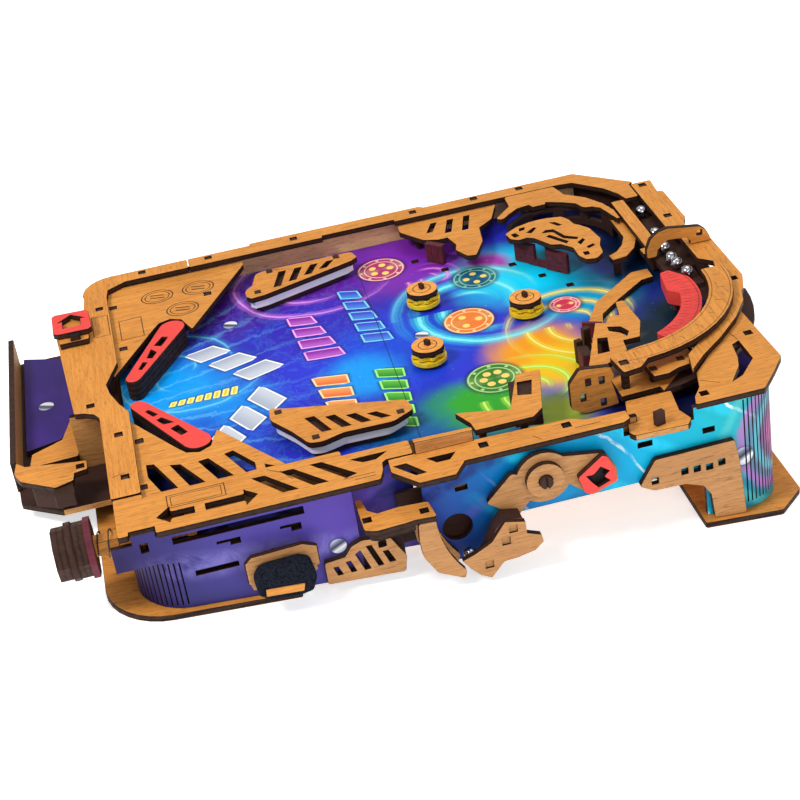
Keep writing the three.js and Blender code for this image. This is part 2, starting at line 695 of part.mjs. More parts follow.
function farLane() {
  const holes = farLaneHoleShares.map(level);
  const legs = farLanePinShares.map((place) => pinAt(place, fieldSeat, apronTop - overrun));
  add("far_lane_plate", join(plate(level(farLaneShares), apronTop, holes), ...legs), materials.wood);
}

const archShares = [
  [0.81, -0.4975], [0.907, -0.4975], [0.916, -0.445], [0.948, -0.405], [0.97, -0.355], [0.98, -0.31], [0.98, -0.265],
  [0.974, -0.265], [0.96, -0.335], [0.948, -0.35], [0.932, -0.355], [0.924, -0.385], [0.904, -0.405],
  [0.876, -0.425], [0.872, -0.415], [0.848, -0.415], [0.844, -0.43], [0.82, -0.425], [0.8, -0.405], [0.784, -0.385],
  [0.772, -0.395], [0.808, -0.445],
];
const archCentreShares = [0.872, -0.295];
const archWallShare = 0.0968;
const archWallInner = fieldLength * archWallShare;
const archWallOuter = archWallInner + ply;
const archWindowTurns = [[112, 132], [142, 160], [172, 196]];
const archStartTurn = 88;
const archEndTurn = 232;
const archSteps = 12;
const archWindowSteps = 2;

function archBand(inner, outer, fromTurn, toTurn, steps) {
  const centre = level([archCentreShares])[0];
  return [
    ...arc(centre.x, centre.y, outer, fromTurn, toTurn, steps),
    ...arc(centre.x, centre.y, inner, toTurn, fromTurn, steps),
  ];
}

const archWindowSill = 3;
const archWindowHead = 2;
const archTailTop = -3.1;
const archTailShares = [
  [0.968, -0.302], [0.986, -0.3], [0.986, -0.18], [0.972, -0.14], [0.95, -0.11], [0.924, -0.105], [0.922, -0.128],
  [0.94, -0.14], [0.956, -0.165], [0.968, -0.2], [0.968, -0.262],
];
const archLegShares = [[0.935, -0.124]];

// The arch's curved wall with its windows, and the level tail that runs on from it.
function arch() {
  add("arch_plate", plate(level(archShares), railTop), materials.wood);
  const wallHeight = wallTop - fieldSeat;
  const band = archBand(archWallInner, archWallOuter, archStartTurn, archEndTurn, archSteps);
  const wall = plate(band, wallTop, [], wallHeight);
  const windowHeight = wallHeight - archWindowSill - archWindowHead;
  const windows = archWindowTurns.map(([from, to]) => {
    const opening = archBand(archWallInner - overrun, archWallOuter + overrun, from, to, archWindowSteps);
    return plate(opening, wallTop - archWindowHead, [], windowHeight);
  });
  const tail = plate(level(archTailShares), archTailTop);
  const leg = pinAt(archLegShares[0], fieldSeat, archTailTop - overrun);
  add("arch_wall", join(cut(wall, ...windows), tail, leg), materials.dark);
}

const ornateShares = [
  [0.768, -0.285], [0.772, -0.255], [0.784, -0.243], [0.8, -0.246], [0.812, -0.235], [0.824, -0.205], [0.832, -0.187],
  [0.848, -0.18], [0.864, -0.15], [0.864, -0.108], [0.872, -0.085], [0.89, -0.08], [0.906, -0.1], [0.909, -0.135],
  [0.918, -0.165], [0.912, -0.225], [0.9, -0.25], [0.892, -0.262], [0.888, -0.29], [0.88, -0.31], [0.856, -0.318],
  [0.84, -0.32], [0.82, -0.318], [0.792, -0.307], [0.776, -0.293],
];
const ornateHoleShares = [
  [[0.776, -0.277], [0.786, -0.28], [0.79, -0.262], [0.78, -0.258]],
  [[0.796, -0.298], [0.808, -0.3], [0.804, -0.286], [0.794, -0.284]],
  [[0.804, -0.27], [0.812, -0.278], [0.822, -0.288], [0.826, -0.282], [0.812, -0.262]],
  [[0.828, -0.25], [0.838, -0.262], [0.852, -0.258], [0.864, -0.215], [0.884, -0.195], [0.88, -0.185],
    [0.858, -0.205], [0.848, -0.245]],
  [[0.832, -0.23], [0.84, -0.235], [0.864, -0.185], [0.858, -0.176]],
  [[0.852, -0.295], [0.862, -0.292], [0.872, -0.27], [0.864, -0.268]],
  [[0.876, -0.17], [0.89, -0.185], [0.892, -0.175], [0.88, -0.158]],
  [[0.874, -0.122], [0.884, -0.12], [0.884, -0.105], [0.874, -0.104]],
  [[0.886, -0.142], [0.9, -0.15], [0.902, -0.14], [0.888, -0.132]],
];
const ornateStemShares = [[0.842, -0.312], [0.852, -0.312], [0.852, -0.298], [0.842, -0.298]];
const ornateTop = 2.5;

function ornateBracket() {
  add("ornate_bracket", join(
    plate(level(ornateShares), ornateTop, ornateHoleShares.map(level)),
    plate(level(ornateStemShares), ornateTop - ply, [], ornateTop - ply - fieldSeat),
    plate(level(ornateStemShares), ornateTop - overrun, [], ply),
  ), materials.wood);
}

// The upright gate that bridges the ball channel.
const gateShares = [
  [0.97, 0.02], [0.97, 0.12], [0.978, 0.24], [0.992, 0.31], [1.01, 0.33], [1.069, 0.272], [1.08, 0.21], [1.086, 0.12],
  [1.086, 0.08], [1.05, 0.08], [1.05, 0.12], [1.044, 0.17], [1.01, 0.19], [1.002, 0.16], [0.99, 0.09], [0.988, 0.02],
];
const gateHoleShares = [[[1.062, 0.17], [1.072, 0.165], [1.072, 0.23], [1.062, 0.235]]];

function gate() {
  const face = fieldWidth * faceShares.gate;
  add("gate_plate", sidePlate(upright(gateShares), face, gateHoleShares.map(upright)), materials.wood);
}

// Side panels, whose corners are slit so that the ply bends round.
const frontPanelShares = { front: -0.012, neck: 0.02, tenon: 0.056, end: 0.35, bend: 0.088 };
const frontNeckShare = -0.11;
const frontBendShare = -0.37;
const bendRadius = 20;
const backBendRadius = 18;
const bendSweep = 78;
const bendSteps = 10;
const frontSlits = 12;
const backSlits = 12;
const slitMargin = 1.6;

// A wall bent round a corner, from the flat panel's outer face towards the front or the back.
function bentWall(along, radius, direction, high) {
  const middle = nearFace - radius;
  const sweep = direction * bendSweep;
  const outer = arc(middle, along, radius, 0, sweep, bendSteps);
  const inner = arc(middle, along, radius - ply, sweep, 0, bendSteps);
  const flat = along - direction * overrun;
  const outline = [
    new THREE.Vector2(nearFace, flat), ...outer, ...inner, new THREE.Vector2(nearSkin, flat),
  ];
  const low = seatAt(along + radius);
  return plate(outline, high, [], high - low);
}

function slits(along, radius, direction, high, low, count) {
  const cuts = [];
  for (let index = 0; index < count; index += 1) {
    const turn = (THREE.MathUtils.degToRad(bendSweep) * (index + 1)) / (count + 1);
    const cutBox = new THREE.BoxGeometry(ply + overrun * 2, slitWidth, high - low);
    const middle = radius - ply / 2;
    cutBox.rotateZ(direction * turn);
    cutBox.translate(
      nearFace - radius + middle * Math.cos(turn),
      along + direction * middle * Math.sin(turn),
      (high + low) / 2,
    );
    cuts.push(cutBox);
  }
  return cuts;
}

// Below the slanted foot line nothing of a panel is left.
function groundCutter() {
  const reach = fieldLength * 2;
  const cutter = new THREE.BoxGeometry(reach, reach, wallDepth);
  cutter.translate(0, fieldLength / 2, -wallDepth / 2);
  cutter.rotateX(-incline);
  return cutter.translate(0, 0, seatAt(0));
}

const frontPanelHoleShares = [
  [[0.03, -0.11], [0.0425, -0.11], [0.0425, -0.215], [0.03, -0.215]],
  [[0.078, -0.112], [0.276, -0.112], [0.276, -0.2], [0.078, -0.2]],
  [[0.14, -0.28], [0.176, -0.28], [0.176, -0.35], [0.16, -0.35], [0.16, -0.31], [0.14, -0.31]],
  [[0.236, -0.28], [0.268, -0.28], [0.268, -0.36], [0.252, -0.36], [0.252, -0.31], [0.236, -0.31]],
  [[0.1, -0.54], [0.166, -0.54], [0.166, -0.6], [0.1, -0.6]],
];
const buttonHoleShares = [[0.212, -0.5], [0.244, -0.5], [0.244, -0.66], [0.212, -0.66]];

function nearFrontPanel() {
  const shares = frontPanelShares;
  const flat = [
    new THREE.Vector2(fieldLength * shares.front, wallDepth * frontNeckShare),
    new THREE.Vector2(fieldLength * shares.neck, wallDepth * frontNeckShare),
    new THREE.Vector2(fieldLength * shares.neck, tenonTop),
    new THREE.Vector2(fieldLength * shares.tenon, tenonTop),
    new THREE.Vector2(fieldLength * shares.tenon, wallTop),
    new THREE.Vector2(fieldLength * shares.end, wallTop),
    ...groundPoints([fieldLength * shares.end, fieldLength * shares.bend]),
    new THREE.Vector2(fieldLength * shares.bend, wallDepth * frontBendShare),
    new THREE.Vector2(fieldLength * shares.front, wallDepth * frontBendShare),
  ];
  const holes = [...frontPanelHoleShares, buttonHoleShares].map(upright);
  const along = fieldLength * shares.bend;
  const bendTop = wallDepth * frontBendShare;
  const bend = bentWall(along, bendRadius, -1, bendTop);
  const slitLow = seatAt(along) + slitMargin;
  const slitCuts = slits(along, bendRadius, -1, bendTop - slitMargin, slitLow, frontSlits);
  const whole = join(sidePlate(flat, nearFace, holes), bend);
  add("near_front_panel", cut(whole, groundCutter(), ...slitCuts), materials.print);
}

const backPanelShares = { start: 0.454, end: 0.956 };
const backArchShares = [
  [0.896, -1.02], [0.886, -0.88], [0.86, -0.79], [0.8, -0.762], [0.6, -0.762], [0.552, -0.98],
];
const liftHoleShares = [0.5, -0.76];
const liftHoleRadius = 6;
const backPanelHoleShares = [
  [[0.504, -0.3], [0.524, -0.3], [0.524, -0.365], [0.504, -0.365]],
  [[0.792, -0.31], [0.816, -0.31], [0.816, -0.375], [0.792, -0.375]],
  [[0.896, -0.32], [0.916, -0.32], [0.916, -0.385], [0.896, -0.385]],
];
const hubShares = [0.638, -0.3625];
const axleRadius = 2.6;
const axleSteps = 12;
const backSlitLowShare = -1.3;

function hubPlace() {
  return new THREE.Vector2(fieldLength * hubShares[0], wallDepth * hubShares[1]);
}

function nearBackPanel() {
  const start = fieldLength * backPanelShares.start;
  const end = fieldLength * backPanelShares.end;
  const arched = upright(backArchShares);
  const notch = [fieldLength * shelfNotchShares.start, fieldLength * shelfNotchShares.end];
  const flat = [
    new THREE.Vector2(start, wallTop),
    ...topNotch(notch[0], notch[1], laneShelfTop - ply - seatGap),
    new THREE.Vector2(end, wallTop),
    ...groundPoints([end, fieldLength * backArchShares[0][0]]),
    ...arched,
    ...groundPoints([fieldLength * backArchShares.at(-1)[0], start]),
  ];
  const hub = hubPlace();
  const holeY = fieldLength * liftHoleShares[0];
  const holeZ = wallDepth * liftHoleShares[1];
  const holes = [
    ...backPanelHoleShares.map(upright),
    circle(holeY, holeZ, liftHoleRadius, bumperSteps),
    circle(hub.x, hub.y, axleRadius + seatGap, axleSteps),
  ];
  const bend = bentWall(end, backBendRadius, 1, wallTop);
  const slitLow = wallDepth * backSlitLowShare;
  const slitCuts = slits(end, backBendRadius, 1, wallTop - slitMargin, slitLow, backSlits);
  const whole = join(sidePlate(flat, nearFace, holes), bend);
  add("near_back_panel", cut(whole, groundCutter(), ...slitCuts), materials.print);
}

const recessShares = { start: 0.355, end: 0.45 };
const recessFace = fieldWidth * faceShares.recess;

function recessPanel() {
  const start = fieldLength * recessShares.start;
  const end = fieldLength * recessShares.end;
  const outline = [
    new THREE.Vector2(start, wallTop), new THREE.Vector2(end, wallTop), ...groundPoints([end, start]),
  ];
  add("recess_panel", sidePlate(outline, recessFace), materials.print);
}

const farPanelShares = { start: 0.004, end: 0.95 };
const farCornerShares = [
  [0.944, -0.53375], [0.954, -0.53], [0.992, -0.481], [1.0416, -0.424], [1.034, -0.416], [0.985, -0.4715],
  [0.951, -0.5215], [0.944, -0.5215],
];

function farPanel() {
  const start = fieldLength * farPanelShares.start;
  const end = fieldLength * farPanelShares.end;
  const tenons = [crossbarCornerPinShares, ...farRailPinShares].flatMap(([along]) => tenonAt(fieldLength * along));
  const outline = [
    new THREE.Vector2(start, wallTop),
    ...tenons,
    new THREE.Vector2(end, wallTop),
    ...groundPoints([end, fieldLength * backArchShares[0][0]]),
    ...upright(backArchShares),
    ...groundPoints([fieldLength * backArchShares.at(-1)[0], start]),
  ];
  const panel = sidePlate(outline, -farSkin, [upright(buttonHoleShares)]);
  const corner = plate(level(farCornerShares), wallTop, [], wallTop - seatAt(fieldLength) + overrun);
  add("far_side_panel", cut(join(panel, corner), groundCutter()), materials.print);
}

// Walls inside the case.
const barMiddleShare = 0.475;
const barMiddle = fieldWidth * barMiddleShare;
const bulkheadShares = { back: 0.0308, drainLeft: -0.12, drainRight: 0.07, drainSill: -0.33, barSill: -0.3 };
const bulkheadStepShares = { height: -0.36, right: 0.455 };
const barSize = 6;
const barHeight = -8.5;

// A notch in a wall's top edge, from left to right, down to its sill.
function topNotch(left, right, sill) {
  return [
    new THREE.Vector2(left, wallTop), new THREE.Vector2(left, sill),
    new THREE.Vector2(right, sill), new THREE.Vector2(right, wallTop),
  ];
}

function frontBulkhead() {
  const back = fieldLength * bulkheadShares.back;
  const left = -farSkin + seatGap;
  const right = nearSkin - seatGap;
  const low = seatAt(back - ply);
  const [farTenon, middleTenon, nearTenon] = bulkheadPinShares.map(([, across]) => tenonAt(fieldWidth * across));
  const drain = [fieldWidth * bulkheadShares.drainLeft, fieldWidth * bulkheadShares.drainRight];
  const barHalf = barSize / 2 + seatGap;
  const step = wallDepth * bulkheadStepShares.height;
  const narrow = fieldWidth * bulkheadStepShares.right;
  const outline = [
    new THREE.Vector2(left, wallTop),
    ...farTenon,
    ...topNotch(drain[0], drain[1], wallDepth * bulkheadShares.drainSill),
    ...middleTenon,
    ...nearTenon,
    ...topNotch(barMiddle - barHalf, barMiddle + barHalf, wallDepth * bulkheadShares.barSill),
    new THREE.Vector2(right, wallTop), new THREE.Vector2(right, step), new THREE.Vector2(narrow, step),
    new THREE.Vector2(narrow, low), new THREE.Vector2(left, low),
  ];
  add("front_bulkhead", crossPlate(outline, back), materials.dark);
}

const backWallShare = 1.065;
const backWallSpanShares = [-0.41, 0.11];

function backBulkhead() {
  const back = fieldLength * backWallShare;
  const left = fieldWidth * backWallSpanShares[0];
  const right = fieldWidth * backWallSpanShares[1];
  const low = fieldTop - ply - fieldDrop;
  const tenons = channelOuterPinShares.flatMap(([, across]) => tenonAt(fieldWidth * across));
  const outline = [
    new THREE.Vector2(left, wallTop), ...tenons, new THREE.Vector2(right, wallTop),
    new THREE.Vector2(right, low), new THREE.Vector2(left, low),
  ];
  const channelWall = plate(level(channelWallShares), wallTop, [], wallTop - fieldSeat);
  const floor = plate(level(channelFloorShares), channelFloorTop);
  add("back_bulkhead", join(crossPlate(outline, back), channelWall, floor), materials.dark);
}

const laneShares = { innerEnd: 0.53, outerStart: 0.46, outerEnd: 0.8 };

function laneWalls() {
  const front = fieldLength * bulkheadShares.back + seatGap;
  const inner = rectangle(front, fieldSeat, fieldLength * laneShares.innerEnd, wallTop);
  add("lane_inner_wall", sidePlate(inner, fieldWidth * faceShares.laneInner), materials.dark);
  const start = fieldLength * laneShares.outerStart;
  const end = fieldLength * laneShares.outerEnd;
  const low = fieldTop - ribHeight;
  const tenons = nearRailPinShares.flatMap(([along]) => tenonAt(fieldLength * along));
  const outline = [
    new THREE.Vector2(start, wallTop), ...tenons, new THREE.Vector2(end, wallTop),
    new THREE.Vector2(end, low), new THREE.Vector2(start, low),
  ];
  const shelf = plate(level(shelfStartShares), laneShelfTop);
  const wall = sidePlate(outline, fieldWidth * faceShares.laneOuter);
  add("lane_outer_wall", join(wall, shelf), materials.dark);
}

// The ball tray in front of the crossbar.
const trayDeckTop = -27.7;
const trayDeckShares = [
  [-0.15, -0.475], [0.0195, -0.475], [0.0195, 0.18], [-0.09, 0.18], [-0.155, 0.12], [-0.16, 0],
];
const trayFloorShares = [
  [-0.134, -0.47], [-0.06, -0.43], [-0.0515, -0.364], [0.0185, -0.364], [0.0185, -0.15], [-0.05, -0.15],
  [-0.066, -0.115], [-0.078, -0.075], [-0.14, -0.055],
];
const trayWallTop = -14;
const trayCheekFaceShares = [faceShares.farCheek, faceShares.nearCheek];
const trayCheekEnds = { front: -0.05, back: 0.0185 };
const trayStepTop = -20;
const trayStepShares = [
  [-0.058, -0.104], [-0.029, -0.07], [-0.052, 0.048], [-0.132, 0.0525], [-0.127, 0.003], [-0.075, -0.03],
];
const trayPostShares = [[-0.13, 0.12], [-0.074, 0.135], [-0.074, 0.172], [-0.088, 0.178], [-0.13, 0.146]];
const trayFrontShares = [[-0.142, -0.472], [-0.15, 0.07], [-0.16, 0.07], [-0.152, -0.472]];
const trayLedgeShares = [
  [-0.15, 0.0725], [-0.136, 0.094], [-0.056, 0.1185], [-0.036, 0.122], [-0.036, 0.155], [-0.058, 0.16],
  [-0.06, 0.186], [-0.09, 0.199], [-0.145, 0.1465], [-0.154, 0.1145],
];
const trayLedgePinShares = [[-0.047, 0.139]];
const trayLatchShares = [[-0.09, 0.165], [-0.064, 0.17], [-0.06, 0.225], [-0.094, 0.22]];
const trayLatchDrop = 6;

// A tray cheek hangs under the crossbar by its tenon.
function trayCheek(face, share, low) {
  const back = fieldLength * trayCheekEnds.back;
  const front = fieldLength * trayCheekEnds.front;
  return sidePlate([
    new THREE.Vector2(front, wallTop), ...tenonAt(fieldLength * share), new THREE.Vector2(back, wallTop),
    new THREE.Vector2(back, low), new THREE.Vector2(front, low),
  ], face);
}

function tray() {
  const low = trayDeckTop - seatGap;
  const cheeks = trayPinShares.map(([along], index) => {
    const face = fieldWidth * trayCheekFaceShares[index];
    return trayCheek(face, along, low);
  });
  const front = plate(level(trayFrontShares), trayWallTop, [], trayWallTop - low);
  const step = plate(level(trayStepShares), trayStepTop, [], trayStepTop - low);
  add("tray_deck", join(plate(level(trayDeckShares), trayDeckTop), ...cheeks, front, step), materials.wood);
  add("tray_floor", plate(level(trayFloorShares), trayDeckTop + upperTop), materials.print);
  const postTop = trayWallTop - overrun;
  const post = plate(level(trayPostShares), postTop, [], postTop - trayDeckTop - seatGap);
  const latch = plate(level(trayLatchShares), postTop, [], trayLatchDrop);
  const ledge = plate(level(trayLedgeShares), trayWallTop, trayLedgePinShares.map(holeAt));
  add("tray_ledge", join(ledge, post, latch), materials.wood);
}

// The red key at the player's end and the slider that carries it.
const keyShares = [
  [-0.058, -0.345], [-0.052, -0.352], [0.002, -0.348], [0.008, -0.34], [0.01, -0.262], [0.004, -0.254],
  [-0.05, -0.256], [-0.058, -0.264],
];
const keyArrowShares = [
  [-0.04, -0.28], [-0.04, -0.312], [-0.048, -0.312], [-0.024, -0.338], [0, -0.312], [-0.008, -0.312], [-0.008, -0.28],
];
const keyTop = 5.6;
const sliderShares = [[-0.05, -0.34], [0.002, -0.34], [0.002, -0.235], [-0.05, -0.235]];
const stemShares = [[-0.03, -0.25], [-0.012, -0.25], [-0.012, -0.238], [-0.03, -0.238]];
const sliderTop = 2.8;

function redKey() {
  add("red_key", plate(level(keyShares), keyTop, [level(keyArrowShares)]), materials.red);
  const stem = plate(level(stemShares), sliderTop + ply, [], ply + overrun);
  add("key_slider", join(plate(level(sliderShares), sliderTop), stem), materials.dark);
}

// The plunger: a square bar with a stacked knob, and the wire spring round it.
const knobBack = -8.9;
const knobLayers = [
  { length: 2.5, radius: 11.8, steps: 8 },
  { length: 5.2, radius: 10.8, steps: 8 },
  { length: 2.6, radius: 11.2, steps: 12 },
  { length: 5.3, radius: 10.4, steps: 8 },
];
const barFront = -9.9;
const barBackShare = 0.112;
const barBack = fieldLength * barBackShare;
const headSize = 8;
const headLength = 3;

function plunger() {
  const layers = [];
  let back = knobBack;
  knobLayers.forEach((layer) => {
    const outline = circle(barMiddle, barHeight, layer.radius, layer.steps);
    layers.push(crossPlate(outline, back, [], layer.length));
    back -= layer.length - seatGap;
  });
  const reach = barSize / 2 + seatGap;
  const square = rectangle(barMiddle - reach, barHeight - reach, barMiddle + reach, barHeight + reach);
  const socket = crossPlate(square, knobBack + overrun, [], knobBack + overrun + seatGap - barFront);
  add("plunger_knob", cut(join(...layers), socket), materials.dark);
  const half = barSize / 2;
  const low = barHeight - half;
  const bar = block(barMiddle - half, barMiddle + half, barFront, barBack, low, barHeight + half);
  const headHalf = headSize / 2;
  const headFront = barBack - headLength;
  const headBack = barBack + overrun;
  const head = block(barMiddle - headHalf, barMiddle + headHalf, headFront, headBack, low, wallTop - seatGap);
  add("plunger_bar", join(bar, head), materials.wood);
}

const springRadius = 5.3;
const springWire = 0.6;
const springCurls = 3;
const springFront = knobBack + seatGap;
const springBack = 4.8;
const stepsPerCurl = 8;
const wireSides = 5;

class Coil extends THREE.Curve {
  getPoint(share) {
    const turn = share * springCurls * Math.PI * 2;
    const length = springBack - springFront - springWire * 2;
    return new THREE.Vector3(
      springRadius * Math.cos(turn),
      springFront + springWire + length * share,
      springRadius * Math.sin(turn),
    );
  }
}

// The coil's centre points, with a straight end of one wire diameter at both ends.
function springPoints() {
  const coil = new Coil();
  const steps = springCurls * stepsPerCurl;
  const points = [];
  for (let step = 0; step <= steps; step += 1) {
    points.push(coil.getPoint(step / steps));
  }
  const first = points[0].clone();
  const last = points[points.length - 1].clone();
  first.z -= springWire;
  last.z += springWire;
  return [first, ...points, last];
}

function leastSpringGap(points) {
  let least = Infinity;
  points.forEach((point, index) => {
    for (let other = index + stepsPerCurl / 2; other < points.length; other += 1) {
      least = Math.min(least, point.distanceTo(points[other]) - springWire);
    }
  });
  return least;
}

function wireTube(points, radius) {
  const positions = [];
  const faces = [];
  points.forEach((point, index) => {
    const before = points[Math.max(index - 1, 0)];
    const after = points[Math.min(index + 1, points.length - 1)];
    const heading = after.clone().sub(before).normalize();
    const outward = new THREE.Vector3(point.x, 0, point.z).normalize();
    const side = heading.clone().cross(outward).normalize();
    const up = side.clone().cross(heading).normalize();
    for (let corner = 0; corner < wireSides; corner += 1) {
      const turn = (Math.PI * 2 * corner) / wireSides;
      const place = point.clone()
        .addScaledVector(side, radius * Math.cos(turn))
        .addScaledVector(up, radius * Math.sin(turn));
      positions.push(place.x, place.y, place.z);
    }
  });
  for (let ring = 0; ring + 1 < points.length; ring += 1) {
    for (let corner = 0; corner < wireSides; corner += 1) {
      const next = (corner + 1) % wireSides;
      const here = ring * wireSides;
      const there = here + wireSides;
      faces.push(here + corner, there + corner, here + next);
      faces.push(here + next, there + corner, there + next);
    }
  }
  const last = (points.length - 1) * wireSides;
  for (let corner = 1; corner + 1 < wireSides; corner += 1) {
    faces.push(0, corner, corner + 1);
    faces.push(last, last + corner + 1, last + corner);
  }
  const geometry = new THREE.BufferGeometry();
  geometry.setAttribute("position", new THREE.Float32BufferAttribute(positions, 3));
  geometry.setIndex(faces);
  geometry.computeVertexNormals();
  return geometry;
}

function plungerSpring() {
  const points = springPoints();
  console.log(`least gap of the plunger spring to itself: ${leastSpringGap(points).toFixed(2)} mm`);
  const wire = wireTube(points, springWire / 2).translate(barMiddle, 0, barHeight);
  add("plunger_spring", wire, materials.steel);
}

// Flipper buttons: a wood bracket with a foam pad outside, and a stem that goes in through the panel.
const buttonReach = 4.6;
const buttonBracketShares = [
  [0.172, -0.72], [0.172, -0.5], [0.184, -0.43], [0.262, -0.41], [0.284, -0.47], [0.284, -0.66], [0.272, -0.7],
];
const padShares = [
  [0.178, -0.79], [0.172, -0.6], [0.182, -0.49], [0.2, -0.45], [0.254, -0.43], [0.272, -0.48], [0.278, -0.72],
  [0.268, -0.78], [0.2, -0.82],
];
const padThickness = 5;
const stemPlaceShares = [0.2175, 0.2385, -0.52, -0.64];
const stemReach = 14;

function flipperButton(name, side) {
  const face = side > 0 ? nearFace : farFace;
  const bracketInner = face + buttonReach;
  const padInner = bracketInner + ply;
  const [front, back, high, low] = stemPlaceShares;
  const acrossSide = (inner, outer) => (side > 0 ? [inner, outer] : [-outer, -inner]);
  const layer = (shares, inner, thickness) => {
    const [, right] = acrossSide(inner, inner + thickness);
    return sidePlate(upright(shares), right, [], thickness);
  };
  const [stemLeft, stemRight] = acrossSide(face - stemReach, bracketInner + overrun);
  const stem = block(stemLeft, stemRight, fieldLength * front, fieldLength * back, wallDepth * low, wallDepth * high);
  const bracket = layer(buttonBracketShares, bracketInner, ply);
  const pad = layer(padShares, padInner - seatGap, padThickness);
  add(name, join(bracket, pad, stem), materials.foam);
}

// Plates on the near side.
const decorShares = [
  [0.2895, -1.01], [0.2895, -0.76], [0.322, -0.74], [0.334, -0.64], [0.352, -0.6], [0.394, -0.64], [0.415, -0.89],
  [0.41, -1.07],
];
const decorHoleShares = [
  [[0.302, -0.83], [0.309, -0.83], [0.315, -0.93], [0.307, -0.93]],
  [[0.322, -0.8], [0.329, -0.8], [0.336, -0.93], [0.328, -0.93]],
  [[0.338, -0.74], [0.346, -0.71], [0.358, -0.94], [0.349, -0.94]],
  [[0.356, -0.68], [0.364, -0.68], [0.378, -0.93], [0.37, -0.93]],
  [[0.38, -0.78], [0.388, -0.78], [0.397, -0.92], [0.388, -0.92]],
  [[0.375, -0.66], [0.387, -0.66], [0.387, -0.73], [0.375, -0.73]],
];

function decorPlate() {
  add("decor_plate", sidePlate(upright(decorShares), skinFace, decorHoleShares.map(upright)), materials.wood);
}

const shelfTop = -12;
const shelfShares = [
  [0.354, 0.505], [0.364, 0.505], [0.367, 0.545], [0.38, 0.562], [0.414, 0.557], [0.458, 0.562], [0.462, 0.614],
  [0.43, 0.61], [0.42, 0.612], [0.371, 0.616], [0.354, 0.606],
];
const shelfLowerShares = [
  [0.361, 0.548], [0.378, 0.565], [0.414, 0.56], [0.43, 0.56], [0.43, 0.606], [0.42, 0.608], [0.372, 0.612],
  [0.36, 0.604],
];
const shelfSpacerShares = [[0.372, 0.575], [0.41, 0.575], [0.41, 0.6], [0.372, 0.6]];
const shelfPinShares = [[0.3625, 0.575], [0.4475, 0.588]];

function liftShelf() {
  const lowerTop = shelfTop - upperTop;
  const lower = plate(level(shelfLowerShares), lowerTop);
  const spacer = plate(level(shelfSpacerShares), shelfTop - overrun, [], upperTop + overrun);
  add("lift_shelf", join(plate(level(shelfShares), shelfTop, shelfPinShares.map(holeAt)), lower, spacer),
    materials.wood);
}

// The lift: the paddle's end sweeps along the chute's inner edge, which is an arc about the lever's hub.
const liftSweepShare = 0.1776;
const liftSweep = fieldLength * liftSweepShare;
const chuteReach = 13.8;
const chuteOuterFace = nearFace + chuteReach;
const chuteEdgeShares = { high: -0.382, low: -1.03 };
const chuteBackShares = [[0.492, -1.11], [0.452, -0.975], [0.434, -0.76], [0.432, -0.57], [0.434, -0.385]];
const chutePinShares = [[0.466, -0.93], [0.448, -0.56]];
const chuteSteps = 6;

// The turn about the hub at which the chute's edge comes down to a height.
function chuteTurn(share) {
  return halfTurn + THREE.MathUtils.radToDeg(Math.asin((hubPlace().y - wallDepth * share) / liftSweep));
}

function liftChute() {
  const hub = hubPlace();
  const turns = [chuteTurn(chuteEdgeShares.high), chuteTurn(chuteEdgeShares.low)];
  const edge = arc(hub.x, hub.y, liftSweep, turns[0], turns[1], chuteSteps);
  const outline = [...edge, ...upright(chuteBackShares)];
  const outer = sidePlate(outline, chuteOuterFace);
  const inner = sidePlate(outline, skinFace);
  const half = pinSize / 2;
  const pins = chutePinShares.map(([along, height]) => {
    const y = fieldLength * along;
    const z = wallDepth * height;
    return block(skinFace - overrun, chuteOuterFace - overrun, y - half, y + half, z - half, z + half);
  });
  add("lift_chute", join(outer, inner, ...pins), materials.wood);
}

const armReach = 2;
const armInnerFace = nearFace + armReach;
const armFace = armInnerFace + ply;
const outerLayer = ply + seatGap;
const hubFace = armInnerFace + ply + ply;
const hubRadius = 10.9;
const hubRingRadius = 7.4;
const hubSteps = 24;
const armFrontShares = [[0.589, -0.24], [0.546, -0.5], [0.592, -0.72], [0.61, -0.6]];
const armTailShares = [[0.67, -0.18], [0.736, -0.25], [0.752, -0.45], [0.752, -0.6], [0.71, -0.69], [0.67, -0.47]];
const tabShares = [
  [0.688, -0.42], [0.728, -0.235], [0.736, -0.255], [0.746, -0.405], [0.748, -0.545], [0.7056, -0.64], [0.696, -0.6],
];
const tabArrowShares = [
  [0.7, -0.42], [0.712, -0.425], [0.724, -0.35], [0.738, -0.42], [0.728, -0.47], [0.738, -0.53], [0.718, -0.58],
  [0.708, -0.5],
];

// The lever: a plate with a ring round its hub, and the tab plate that a finger pushes.
function leverArm() {
  const hub = hubPlace();
  const hubDisc = sidePlate(circle(hub.x, hub.y, hubRadius, hubSteps), armFace);
  const front = sidePlate([...upright(armFrontShares), hub], armFace);
  const tail = sidePlate([hub, ...upright(armTailShares)], armFace);
  const ring = sidePlate(circle(hub.x, hub.y, hubRingRadius, hubSteps), hubFace, [], outerLayer);
  const tab = sidePlate(upright(tabShares), hubFace, [upright(tabArrowShares)], outerLayer);
  const boreCircle = circle(hub.x, hub.y, axleRadius + seatGap, axleSteps);
  const bore = sidePlate(boreCircle, hubFace + overrun, [], ply + ply + overrun + overrun);
  add("lever_arm", cut(join(hubDisc, front, tail, ring, tab), bore), materials.red);
}

const axleInset = 0.75;
const axleReach = 9;
const axleInnerFace = nearSkin - axleInset;
const axleOuterFace = nearFace + axleReach;
const axleHead = 3.4;
const axleSlot = 0.8;

